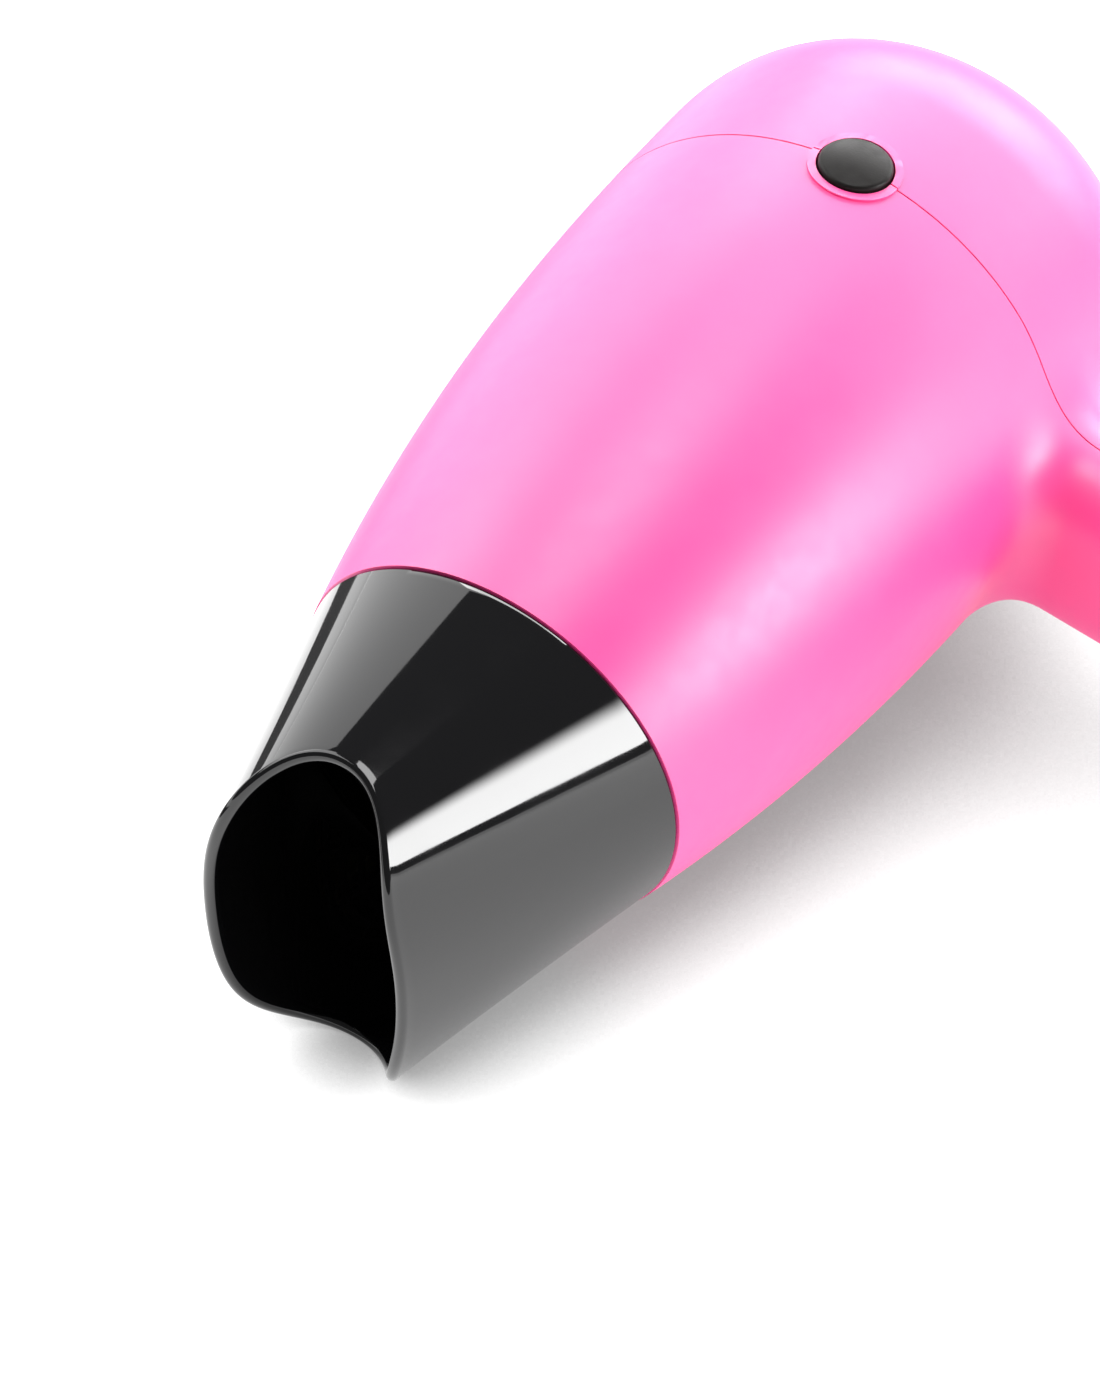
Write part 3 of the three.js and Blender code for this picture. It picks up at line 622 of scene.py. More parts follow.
def housing():
    slot_top = HINGE_S - EAR_RADIUS - GAP
    points, faces = housing_skin()
    shell = make_object("housing", points, faces, BARREL)
    join(shell, disc_boss(-1), disc_boss(1))
    inner = [(x, float(barrel_radius(x)) - WALL) for x in np.linspace(GRILLE_X, MOUTH_X, 40)]
    inner = [(GRILLE_X - 10, inner[0][1])] + inner + [(MOUTH_X + 10, inner[-1][1])]
    below = (
        [(-30, -HINGE_S), (-EAR_RADIUS, -HINGE_S)]
        + arc((0, -HINGE_S), EAR_RADIUS, 180, 360, 33)[1:-1]
        + [(EAR_RADIUS, -HINGE_S), (30, -HINGE_S), (30, -90), (-30, -90)]
    )
    tools = [
        skin_object("inner", turned(inner, 160), BARREL),
        skin_object("hollow", [
            grip_ring(s, NECK_DEPTH - WALL, NECK_WIDTH - WALL) for s in (20, slot_top - WALL)
        ], HANDLE),
        skin_object("below", prism(below, -30, 30), HANDLE),
        skin_object(
            "slot", block((-TOOL_REACH, -SLOT_HALF, -90), (TOOL_REACH, SLOT_HALF, -slot_top)), HANDLE
        ),
        bore_y("pin_bore", PIN_RADIUS + GAP, HANDLE, HINGE_S),
        screw_hole(SCREWS["neck_screw"]),
    ]
    for side in (-1, 1):
        cap_bore = CAP_RADIUS + CAP_GAP
        ends = [(10 * side, cap_bore), (TOOL_REACH * side, cap_bore)]
        tools.append(rod_y("cap_bore", ends, HANDLE, HINGE_S))
        disc_bore = DISC_RADIUS + DISC_GAP
        ends = [(25 * side, disc_bore), (40 * side, disc_bore)]
        tools.append(rod_y("disc_bore", ends, BARREL))
    return cut(shell, *tools)


def copy_of(obj, name):
    twin = obj.copy()
    twin.data = obj.data.copy()
    twin.name = name
    bpy.context.scene.collection.objects.link(twin)
    return twin


def finished(obj, node, body, slot):
    """Shades a piece, gives it its finish and lets it stand for its CAD node."""
    smooth(obj)
    obj.data.materials.clear()
    obj.data.materials.append(FINISHES[slot])
    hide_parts(node)
    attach(obj, body)


def housing_shells():
    whole = housing()
    front = copy_of(whole, "front_shell")
    cut(front, seam_cutter(-1))
    rear = copy_of(whole, "rear_shell")
    cut(rear, seam_cutter(1))
    bpy.data.objects.remove(whole)
    for obj, node in ((front, "front_housing"), (rear, "rear_housing")):
        bevel(obj, SEAM_EDGE)
        finished(obj, node, "housing", "pink_shell")
        set_field_normals(obj, housing_field, BARREL)


# ---------------------------------------------------------------- nozzle


def nozzle_ring(fraction, inset):
    """A ring of the nozzle, a fraction of the way from its round base to its rim."""
    angles = circle_angles(NOZZLE_SIDES)
    reach = NOZZLE_LENGTH - NOTCH_DEPTH * np.abs(np.cos(angles)) ** NOTCH_POWER
    ring = []
    for angle, far in zip(angles, reach * fraction):
        share = far / NOZZLE_LENGTH
        half_y = NOZZLE_RADIUS + (SLOT_HALF_LENGTH - NOZZLE_RADIUS) * share - inset
        half_z = NOZZLE_RADIUS + (SLOT_HALF_WIDTH - NOZZLE_RADIUS) * share - inset
        y, z = superellipse(angle, half_y, half_z, 2 + (SLOT_POWER - 2) * share)
        ring.append((NOZZLE_X + far, float(y), float(z)))
    return np.array(ring)


def nozzle():
    """Outside from base to rim, over the rounded rim, and inside back to the shelf."""
    rim = NOZZLE_WALL / 2
    rim_start = 1 - rim / NOZZLE_LENGTH
    base = nozzle_ring(0.0, NOZZLE_BASE_EASE)
    base[:, 0] -= NOZZLE_BASE_EASE
    rings = [base] + [nozzle_ring(f, 0.0) for f in np.linspace(0.003, rim_start, 40)]
    for angle in np.linspace(0, 180, 13)[1:]:
        a = math.radians(angle)
        ring = nozzle_ring(rim_start, rim - rim * math.cos(a))
        ring[:, 0] += rim * math.sin(a)
        rings.append(ring)
    for f in np.linspace(rim_start, (NOZZLE_SHELF + GAP) / NOZZLE_LENGTH, 24)[1:]:
        rings.append(nozzle_ring(f, NOZZLE_WALL))
    shelf = [
        (NOZZLE_SHELF, SHELF_RADIUS), (NOZZLE_SHELF, SHELF_BORE + 0.3),
        (NOZZLE_SHELF - 0.2, SHELF_BORE), (0, SHELF_BORE),
    ]
    rings += list(turned([(NOZZLE_X + x, radius) for x, radius in shelf], NOZZLE_SIDES))
    obj = skin_object("nozzle_body", rings, NOZZLE, closed=True)
    finished(obj, "nozzle", "nozzle", "gloss_black")


# ---------------------------------------------------------------- discs

DISC_BACK = float(barrel_radius(0)) - FLANGE_BACK


def disc_outline():
    """Half section of a disc, from behind its flange to the middle of its crown."""
    flange_front = DISC_BACK + FLANGE_THICKNESS
    shoulder = DISC_TOP - DISC_CROWN - DISC_EDGE
    flat = DISC_RADIUS - DISC_EDGE
    crown = [
        (DISC_TOP - DISC_CROWN * (r / flat) ** 2, r) for r in np.linspace(flat, AXIS_RADIUS, 12)[1:]
    ]
    return (
        [(DISC_BACK, AXIS_RADIUS), (DISC_BACK, FLANGE_RADIUS)]
        + [(flange_front, FLANGE_RADIUS), (flange_front, DISC_RADIUS)]
        + arc((shoulder, flat), DISC_EDGE, 90, 0, 7)
        + crown
    )


def disc(name, side, node, body):
    """A disc on one side of the barrel. The one on the left is a button with a stem."""
    outline = [(along * side, radius) for along, radius in disc_outline()]
    obj = rod_y(name, outline, BARREL, sides=128)
    if side > 0:
        stem = [(DISC_BACK - 0.6, STEM_RADIUS), (DISC_BACK + 0.5, STEM_RADIUS)]
        join(obj, rod_y("stem", stem, BARREL, sides=32))
    finished(obj, node, body, "satin_black")


def cool_shot_spring():
    """The coil under the button, fixed with the housing; nothing here flattens it as the button goes in.
    """
    top = DISC_BACK - 0.7
    angles = np.linspace(0, SPRING_TURNS * 2 * math.pi, SPRING_TURNS * 32 + 1)
    corners = circle_angles(10)
    rings = []
    for angle, y in zip(angles, np.linspace(SPRING_SEAT, top, len(angles))):
        reach = SPRING_RADIUS + SPRING_WIRE * np.cos(corners)
        height = y + SPRING_WIRE * np.sin(corners)
        rings.append(np.stack((reach * math.cos(angle), height, reach * math.sin(angle)), 1))
    coil = skin_object("button_spring", np.array(rings), BARREL)
    finished(coil, "cool_shot_spring", "housing", "steel")
    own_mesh(coil)


# ---------------------------------------------------------------- mouth and inlet


def lathe_piece(name, outline, node, body, slot):
    """A ring turned about the barrel's axis, from a closed half section."""
    obj = skin_object(name, turned(outline, 144), BARREL, closed=True)
    bevel(obj, 0.15)
    finished(obj, node, body, slot)


def nozzle_ring_piece():
    """The snap ring: a spigot in the barrel's mouth, a collar, and a neck that holds the nozzle."""
    ring_front = NOZZLE_X + NOZZLE_SHELF
    neck = SHELF_BORE - 0.4
    outline = [
        (63.2, AIR_RADIUS), (63.2, SPIGOT_RADIUS), (70.4, SPIGOT_RADIUS), (70.4, COLLAR_RADIUS),
        (NOZZLE_X - GAP, COLLAR_RADIUS), (NOZZLE_X - GAP, neck),
        (ring_front + GAP, neck), (ring_front + GAP, SPIGOT_RADIUS),
        (ring_front + 1.4, SPIGOT_RADIUS), (ring_front + 1.4, AIR_RADIUS),
    ]
    lathe_piece("snap_ring", outline, "nozzle_ring", "nozzle_ring", "satin_black")


def mouth_ring_piece():
    outline = [
        (58.6, MOUTH_BORE), (58.6, LINER_RADIUS), (60, LINER_RADIUS),
        (60, 22), (70, 22), (70, MOUTH_BORE),
    ]
    lathe_piece("mouth_liner", outline, "mouth_ring", "housing", "dark_plastic")


def spoke(x0, x1, half, low, high, angle):
    rings = block((x0, -half, low), (x1, half, high))
    return skin_object("spoke", rings, BARREL @ Matrix.Rotation(angle, 4, "X"))


def outlet_grille_piece():
    back, front = 60.6, 62.4
    rim = MOUTH_BORE - GAP
    rings = [
        skin_object("ring", turned([
            (back, outer), (front, outer), (front, inner), (back, inner)
        ], 96), BARREL, closed=True)
        for outer, inner in ((rim, rim - 1.6), (16.4, 15.4), (12.4, 11.2), (8.2, 7.2), (4, 1.6))
    ]
    spokes = [spoke(back, front, 0.6, 3, rim - 0.5, a + 0.01) for a in circle_angles(6)]
    grille = join(rings[0], *rings[1:], *spokes)
    bevel(grille, 0.2)
    finished(grille, "outlet_grille", "housing", "dark_plastic")


def inlet_grille_piece():
    """The domed rear cover with its ring of slots, and the skirt that snaps into the barrel."""
    rim = GRILLE_X - GAP
    skirt = float(barrel_radius(GRILLE_X)) - WALL - GAP
    inner_skirt = skirt - GRILLE_WALL
    stations = DOME_X + (rim - DOME_X) * np.linspace(0.0, 1, 18)[1:] ** 2
    outside = [(DOME_X, AXIS_RADIUS)] + [(x, float(barrel_radius(x))) for x in stations]
    inside = [
        (x + GRILLE_WALL, min(r - GRILLE_WALL / 2, inner_skirt)) for x, r in outside[:0:-1]
        if x + GRILLE_WALL < rim - 1.2
    ]
    outline = outside + [
        (rim, skirt), (SKIRT_END, skirt), (SKIRT_END, inner_skirt), (rim - 1, inner_skirt)
    ] + inside + [(DOME_X + GRILLE_WALL, AXIS_RADIUS)]
    cap = skin_object("inlet_cover", turned(outline, 144), BARREL)
    slots = []
    for angle in circle_angles(GRILLE_SLOTS) + 0.005:
        rings = stadium((-50, -34.5), SLOT_HALF_THICKNESS, SLOT_SPAN)
        slots.append(skin_object("slot", rings, BARREL @ Matrix.Rotation(angle, 4, "X")))
    cut(cap, *slots)
    bevel(cap, 0.3, 3)
    finished(cap, "inlet_grille", "inlet_cover", "satin_black")


def woven_wire(offset, half, phase, across):
    """Rings of one wire of the filter, waving over and under the wires that cross it."""
    steps = int(2 * half / (FILTER_PITCH / 4)) + 1
    along = np.linspace(-half, half, steps)
    lift = FILTER_X + FILTER_WIRE * np.sin(math.pi * along / FILTER_PITCH + phase)
    corners = circle_angles(6)
    rings = []
    for a, x in zip(along, lift):
        side = offset + FILTER_WIRE * np.cos(corners)
        depth = x + FILTER_WIRE * np.sin(corners)
        along_line = np.full(len(corners), a)
        rings.append(np.stack((depth, side, along_line) if across else (depth, along_line, side), 1))
    return np.array(rings)


def filter_piece():
    """A flat ring with wires woven across it, just inside the grille."""
    radius = float(barrel_radius(GRILLE_X)) - WALL - GAP - GRILLE_WALL - GAP
    inner = radius - FILTER_FRAME
    points, faces = skin(turned([(-30, radius), (-29.2, radius), (-29.2, inner), (-30, inner)], 96), True)
    faces = outward(points, faces)
    count = int((radius - 2) / FILTER_PITCH)
    for n in range(-count, count + 1):
        offset = n * FILTER_PITCH
        half = math.sqrt((radius - 1) ** 2 - offset**2)
        for across in (False, True):
            phase = math.pi * (n % 2 + across)
            more, more_faces = skin(woven_wire(offset, half, phase, across))
            more_faces = outward(more, more_faces)
            faces += [tuple(i + len(points) for i in face) for face in more_faces]
            points = np.concatenate([points, more])
    obj = make_object("filter_mesh", points, faces, BARREL)
    finished(obj, "filter_screen", "inlet_cover", "steel")


# ---------------------------------------------------------------- handle


def handle_half(s):
    """Half depth and half width of the handle, swelling gently in the palm."""
    t = min(max((s - HANDLE_START) / (HANDLE_END - HANDLE_START), 0), 1)
    swell = HANDLE_SWELL * math.sin(math.pi * t)
    over = max(0.0, s - (HANDLE_END - HANDLE_END_ROUND))
    round_off = HANDLE_END_ROUND - math.sqrt(max(HANDLE_END_ROUND**2 - over**2, 0))
    return NECK_DEPTH + swell - round_off, NECK_WIDTH + swell - round_off


def handle_field(p):
    """Signed distance, nearly, from the handle's outer surface."""
    half = np.array([handle_half(s) for s in -p[:, 2]])
    u, v = np.abs(p[:, 0]) / half[:, 0], np.abs(p[:, 1]) / half[:, 1]
    return ((u**GRIP_POWER + v**GRIP_POWER) ** (1 / GRIP_POWER) - 1) * half[:, 0]


def handle_skin(stations, inset, sides):
    rings = []
    for s in stations:
        depth, width = handle_half(s if not inset else min(s, HANDLE_END - HANDLE_END_ROUND))
        rings.append(grip_ring(s, depth - inset, width - inset, sides))
    return rings


def rounded_slot(name, levels, half_v, span_s, radius):
    """A block with rounded corners: levels are along the handle's depth, span_s down it."""
    low, high = -span_s[1], -span_s[0]
    corners = [(half_v, high, 0), (-half_v, high, 90), (-half_v, low, 180), (half_v, low, 270)]
    outline = []
    for v, z, start in corners:
        centre = (v - math.copysign(radius, v), z - math.copysign(radius, z - (low + high) / 2))
        outline += arc(centre, radius, start, start + 90, 6)
    return skin_object(name, [[(u, v, z) for v, z in outline] for u in levels], HANDLE)


def tongue():
    """The plate between the ears, round at the hinge and trimmed to the neck's section."""
    low = -(HANDLE_START + 3)
    outline = (
        [(-TONGUE_RADIUS, low)] + arc((0, -HINGE_S), TONGUE_RADIUS, 180, 0, 41) + [(TONGUE_RADIUS, low)]
    )
    plate = skin_object("tongue", prism(outline, -TONGUE_HALF, TONGUE_HALF), HANDLE)
    sleeve = [grip_ring(s, NECK_DEPTH, NECK_WIDTH, 144) for s in (40, HANDLE_START + 4)]
    return combine(plate, "INTERSECT", [skin_object("sleeve", sleeve, HANDLE)])


def loop_lug():
    """The round-ended tab that the hanging loop turns in."""
    low = -HANDLE_END + 2
    outline = (
        [(LOOP_U + LUG_RADIUS, low), (LOOP_U - LUG_RADIUS, low)]
        + arc((LOOP_U, -LOOP_S), LUG_RADIUS, 180, 360, 17)
    )
    return skin_object("lug", prism(outline, -LUG_HALF, LUG_HALF), HANDLE)


def handle_body():
    """The hollow grip, with its end rounded off."""
    grip_end = HANDLE_END - HANDLE_END_ROUND
    ends = [grip_end + HANDLE_END_ROUND * math.sin(a) for a in np.linspace(0, math.pi / 2, 9)]
    stations = list(np.linspace(HANDLE_START, grip_end, 28)[:-1]) + ends
    shell = skin_object("handle", handle_skin(stations, 0, 144), HANDLE)
    hollow = handle_skin(np.linspace(HANDLE_START + WALL, HANDLE_END - WALL, 12), WALL, 96)
    cut(shell, skin_object("hollow", hollow, HANDLE))
    return shell


def handle_shell():
    """The grip with everything moulded on it, and its holes and recesses."""
    shell = handle_body()
    front_face = handle_half(SLIDER_S)[0]
    recess_span = (SLIDER_S - SLIDER_TRAVEL - SLIDER_HALF - 1, SLIDER_S + SLIDER_HALF + 1)
    pad_span = (recess_span[0] - 2, recess_span[1] + 2)
    stem_span = (SLIDER_S - SLIDER_TRAVEL - 2.4, SLIDER_S + 2.4)
    pad = rounded_slot("pad", (front_face - 3.2, front_face - 1.0), 7.0, pad_span, 1.5)
    screws = [s for name, s in SCREWS.items() if "handle" in name]
    bosses = []
    for s in screws:
        depth = handle_half(s)[0] - 0.5
        bosses.append(rod_x("boss", [(-depth, 3.4), (depth, 3.4)], s))
    join(shell, tongue(), loop_lug(), pad, *bosses)
    dial_bore = SELECTOR_RADIUS + GAP
    gland_bore = GLAND_RADIUS + GAP
    gland_hole = turned([(-HANDLE_END + 6, gland_bore), (-HANDLE_END - 5, gland_bore)], 96, "z")
    lug_place = HANDLE @ Matrix.Translation((LOOP_U, 0, 0))
    tools = [screw_hole(s) for s in screws] + [
        bore_y("pin_bore", PIN_RADIUS + GAP, HANDLE, HINGE_S),
        rounded_slot("recess", (front_face - 1.2, TOOL_REACH), 5.0, recess_span, 2.0),
        rounded_slot("slot", (front_face - 5, TOOL_REACH), 2.1, stem_span, 1.2),
        rod_x("dial_bore", [(-TOOL_REACH, dial_bore), (-6.5, dial_bore)], SELECTOR_S),
        skin_object("gland_bore", gland_hole, HANDLE),
        rod_y("lug_bore", [(-5, 1.9), (5, 1.9)], lug_place, LOOP_S),
    ]
    return cut(shell, *tools)


def handle_shells():
    whole = handle_shell()
    front = copy_of(whole, "grip_front")
    rear = copy_of(whole, "grip_rear")
    bpy.data.objects.remove(whole)
    far = 30
    cut(front, skin_object("half", block((-far, -far, -200), (SEAM_GAP, far, 0)), HANDLE))
    cut(rear, skin_object("half", block((-SEAM_GAP, -far, -200), (far, far, 0)), HANDLE))
    for obj, node in ((front, "handle_front"), (rear, "handle_rear")):
        bevel(obj, SEAM_EDGE)
        finished(obj, node, "handle", "pink_shell")
        set_field_normals(obj, handle_field, HANDLE)


def screw(name, s, body):
    """A pan head with a cross recess on a plain shank."""
    head_back, head_front = SCREW_SEAT - 2, SCREW_SEAT - GAP
    rim = 0.7
    outline = (
        [(head_back, AXIS_RADIUS)]
        + arc((head_back + rim, SCREW_HEAD - rim), rim, 180, 90, 6)
        + [(head_front, SCREW_HEAD), (head_front, SCREW_SHANK)]
        + [(SCREW_TIP - 0.6, SCREW_SHANK), (SCREW_TIP, SCREW_SHANK - 0.6)]
    )
    obj = rod_x(name + "_piece", outline, s, sides=64)
    levels = (head_back - 1, head_back + 0.9)
    for half_v, half_s in ((0.4, 1.7), (1.7, 0.4)):
        cut(obj, rounded_slot("recess", levels, half_v, (s - half_s, s + half_s), 0.2))
    bevel(obj, 0.08)
    finished(obj, name, body, "steel")


def hinge_cap(side, node):
    """A round plug with a softened rim and a shallow dish."""
    back, dish = CAP_BACK * side, (CAP_FACE - CAP_DISH) * side
    outline = [(back, AXIS_RADIUS), (back, CAP_RADIUS)]
    for a in np.linspace(0, math.pi / 2, 7):
        along = CAP_FACE - CAP_RIM + CAP_RIM * math.sin(a)
        outline.append((along * side, CAP_RADIUS - CAP_RIM + CAP_RIM * math.cos(a)))
    outline += [(dish, CAP_RADIUS - CAP_RIM - 0.9), (dish, AXIS_RADIUS)]
    obj = rod_y(node + "_piece", outline, HANDLE, HINGE_S, sides=96)
    bevel(obj, 0.12)
    finished(obj, node, "housing", "satin_black")


def speed_slider():
    """A rounded pad with raised ridges, on a stem that runs in the handle's slot."""
    front_face = handle_half(SLIDER_S)[0]
    base, top = front_face - 0.9, front_face + 1.2
    ends = (SLIDER_S - SLIDER_HALF, SLIDER_S + SLIDER_HALF)
    slider = rounded_slot("slider", (base, top), 4.6, ends, 1.8)
    bevel(slider, 0.45, 3)
    ridges = []
    ridge_levels = (top - 0.3, top + 0.65)
    for s in np.linspace(ends[0] + 2.2, ends[1] - 2.2, SLIDER_RIDGES):
        ridges.append(rounded_slot("ridge", ridge_levels, 3.6, (s - 0.5, s + 0.5), 0.45))
    stem_levels = (front_face - 3.4, base + 0.3)
    stem = rounded_slot("stem", stem_levels, 1.7, (SLIDER_S - 2, SLIDER_S + 2), 0.5)
    join(slider, stem, *ridges)
    bevel(slider, 0.14)
    finished(slider, "speed_slider", "speed_slide", "satin_black")


def voltage_selector():
    """A round dial with a coin slot, a flange inside the shell, and a stem."""
    face = -handle_half(SELECTOR_S)[0] + 0.2
    flange = SELECTOR_RADIUS + 1
    outline = [
        (face, AXIS_RADIUS), (face, SELECTOR_RADIUS), (-7.2, SELECTOR_RADIUS), (-7.2, flange),
        (-6.2, flange), (-6.2, 1.5), (-4, 1.5), (-4, AXIS_RADIUS),
    ]
    dial = rod_x("dial", outline, SELECTOR_S, sides=96)
    slot_span = (SELECTOR_S - 3.6, SELECTOR_S + 3.6)
    cut(dial, rounded_slot("coin_slot", (face - 1, face + 1), 0.6, slot_span, 0.55))
    bevel(dial, 0.2, 3)
    finished(dial, "voltage_selector", "voltage_dial", "satin_black")


def cord_gland():
    """A sleeve round the cord's hole, with a flange inside the shell."""
    end = -HANDLE_END
    flange = GLAND_RADIUS + 1
    outline = [
        (end + 3.5, CORD_HOLE_RADIUS), (end + 3.5, flange), (end + 2.3, flange),
        (end + 2.3, GLAND_RADIUS), (end - 1.5, GLAND_RADIUS), (end - 1.5, CORD_HOLE_RADIUS),
    ]
    obj = skin_object("gland", turned(outline, 96, "z"), HANDLE, closed=True)
    bevel(obj, 0.35, 3)
    finished(obj, "cord_gland", "handle", "black_rubber")


def loop_path():
    """The loop's middle line, as (across, down) points round a D."""
    half = LOOP_HALF - LOOP_BAR / 2
    inner = half - LOOP_CORNER
    bottom = LOOP_REACH - LOOP_HALF
    path = arc((inner, -LOOP_CORNER), LOOP_CORNER, 90, 0, 6)
    path += [(half, -d) for d in np.linspace(LOOP_CORNER, bottom, 6)[1:-1]]
    path += arc((0, -bottom), half, 0, -180, 33)
    path += [(-half, -d) for d in np.linspace(bottom, LOOP_CORNER, 6)[1:-1]]
    path += arc((-inner, -LOOP_CORNER), LOOP_CORNER, 180, 90, 6)
    path += [(y, 0.0) for y in np.linspace(-inner, inner, 10)[1:-1]]
    return np.array(path)


def hanging_loop():
    """A round bar bent into a D, with its straight side through the lug."""
    path = loop_path()
    ahead = np.roll(path, -1, 0) - np.roll(path, 1, 0)
    ahead /= np.linalg.norm(ahead, axis=1)[:, None]
    flat, thick = superellipse(circle_angles(24), LOOP_BAR / 2, LOOP_BAR / 2, 2.6)
    rings = []
    for (y, z), (ty, tz) in zip(path, ahead):
        rings.append(np.stack([LOOP_U + thick, y - tz * flat, z + ty * flat - LOOP_S], 1))
    obj = skin_object("loop", rings, HANDLE, closed=True)
    finished(obj, "hanging_loop", "loop", "satin_black")


# ---------------------------------------------------------------- camera, floor, lights

# The camera's place in millimetres and its directions, in the barrel's own frame.
CAMERA_PLACE = Vector((264.644, 275.448, -100.803))
CAMERA_RIGHT = Vector((-0.537595, 0.094203, -0.837924))
CAMERA_FORWARD = Vector((-0.570815, -0.772070, 0.279424))
SENSOR = 36.0
LENS = 83.415273
TARGET = Vector((0, 0, 0.035))
FLOOR_HALF = 3.0
CARD_LEVEL = 0.0005


def camera():
    data = bpy.data.cameras.new("camera")
    data.sensor_fit = "VERTICAL"
    data.sensor_height = SENSOR
    data.lens = LENS
    data.clip_start = 0.01
    obj = bpy.data.objects.new("camera", data)
    bpy.context.scene.collection.objects.link(obj)
    turn = BARREL.to_3x3().normalized()
    right = (turn @ CAMERA_RIGHT).normalized()
    back = -(turn @ CAMERA_FORWARD).normalized()
    rotation = Matrix((right, back.cross(right), back)).transposed().to_4x4()
    obj.matrix_world = Matrix.Translation(BARREL @ CAMERA_PLACE) @ rotation
    bpy.context.scene.camera = obj


def card(name, low, high, level):
    """A flat rectangle that belongs to the set."""
    corners = [(low[0], low[1]), (high[0], low[1]), (high[0], high[1]), (low[0], high[1])]
    points = [(x, y, level) for x, y in corners]
    obj = make_object(name, points, [(0, 1, 2, 3)], Matrix.Identity(4))
    return obj


def floor():
    low, high = (-FLOOR_HALF, -FLOOR_HALF), (FLOOR_HALF, FLOOR_HALF)
    obj = card("floor", low, high, 0)
    obj.data.materials.append(floor_finish())


def fade_top(light, share):
    """Dims the light towards its upper edge, over that share of its height."""
    light.use_nodes = True
    nodes, links = light.node_tree.nodes, light.node_tree.links
    place = nodes.new("ShaderNodeNewGeometry")
    split = nodes.new("ShaderNodeSeparateXYZ")
    fade = nodes.new("ShaderNodeMapRange")
    fade.interpolation_type = "SMOOTHSTEP"
    fade.inputs["From Min"].default_value = 1.0
    fade.inputs["From Max"].default_value = 1.0 - share
    links.new(place.outputs["Parametric"], split.inputs["Vector"])
    links.new(split.outputs["Y"], fade.inputs["Value"])
    links.new(fade.outputs["Result"], nodes["Emission"].inputs["Strength"])


def softbox(name, azimuth, elevation, distance, size, brightness, fade=0.0):
    """A soft rectangular light that faces the object, placed by its direction from it.

    Angles are in degrees, the size is (width, height) in metres, and brightness is what one
    square metre sends out, so a light's look in a reflection doesn't depend on its size."""
    data = bpy.data.lights.new(name, "AREA")
    data.shape = "RECTANGLE"
    data.size, data.size_y = size
    data.energy = brightness * math.pi * size[0] * size[1]
    if fade:
        fade_top(data, fade)
    obj = bpy.data.objects.new(name, data)
    bpy.context.scene.collection.objects.link(obj)
    turn, rise = math.radians(azimuth), math.radians(elevation)
    away = Vector((math.cos(turn) * math.cos(rise), math.sin(turn) * math.cos(rise), math.sin(rise)))
    rotation = away.to_track_quat("Z", "Y").to_matrix().to_4x4()
    obj.matrix_world = Matrix.Translation(TARGET + away * distance) @ rotation


def dark_card(name, low, high):
    """A card lying on the table that only shows in reflections, as the dark edge of the set."""
    obj = card(name, low, high, CARD_LEVEL)
    obj.data.materials.append(Finish("card_black", (0.02, 0.02, 0.02), 0.9).material)
    obj.visible_camera = False
    obj.visible_diffuse = False
    obj.visible_shadow = False


def world(strength):
    settings = bpy.data.worlds.new("studio")
    bpy.context.scene.world = settings
    settings.use_nodes = True
    background = settings.node_tree.nodes["Background"]
    background.inputs["Color"].default_value = (1, 1, 1, 1)
    background.inputs["Strength"].default_value = strength


# ---------------------------------------------------------------- materials


class Finish:
    """A material in the making: its node tree and its Principled shader."""

    def __init__(self, name, color, roughness, sockets=()):
        self.material = bpy.data.materials.new(name)
        self.material.use_nodes = True
        self.nodes = self.material.node_tree.nodes
        self.links = self.material.node_tree.links
        self.shader = self.nodes["Principled BSDF"]
        self.shader.inputs["Base Color"].default_value = (*color, 1)
        self.shader.inputs["Roughness"].default_value = roughness
        for socket, value in sockets:
            self.shader.inputs[socket].default_value = value
        self.place = self.nodes.new("ShaderNodeTexCoord").outputs["Object"]

    def noise(self, size, detail=2.0):
        """Noise with features of about that size in millimetres."""
        node = self.nodes.new("ShaderNodeTexNoise")
        node.inputs["Scale"].default_value = 1 / (size * MM)
        node.inputs["Detail"].default_value = detail
        self.links.new(self.place, node.inputs["Vector"])
        return node.outputs["Fac"]

    def spread(self, value, low, high, start=0.3, end=0.7):
        """Maps the value's middle range onto low to high."""
        node = self.nodes.new("ShaderNodeMapRange")
        for key, number in (("From Min", start), ("From Max", end), ("To Min", low), ("To Max", high)):
            node.inputs[key].default_value = number
        self.links.new(value, node.inputs["Value"])
        return node.outputs["Result"]

    def tint(self, value, first, second):
        node = self.nodes.new("ShaderNodeMix")
        node.data_type = "RGBA"
        node.inputs["A"].default_value = (*first, 1)
        node.inputs["B"].default_value = (*second, 1)
        self.links.new(value, node.inputs["Factor"])
        self.links.new(node.outputs["Result"], self.shader.inputs["Base Color"])
        return self

    def rough(self, value):
        self.links.new(value, self.shader.inputs["Roughness"])
        return self

    def bump(self, height, depth):
        """Raises the surface by the height value times that many millimetres."""
        node = self.nodes.new("ShaderNodeBump")
        node.inputs["Distance"].default_value = depth * MM
        self.links.new(height, node.inputs["Height"])
        self.links.new(node.outputs["Normal"], self.shader.inputs["Normal"])
        return self


def moulded(name, color, roughness, patches, rough, grain, depth, sockets=()):
    """A plain finish: patches of different roughness, and a fine grain raised on it.

    patches and grain give a noise's size in millimetres and its detail, rough is the range."""
    finish = Finish(name, color, roughness, sockets)
    finish.rough(finish.spread(finish.noise(*patches), *rough))
    finish.bump(finish.noise(*grain), depth)
    return finish.material


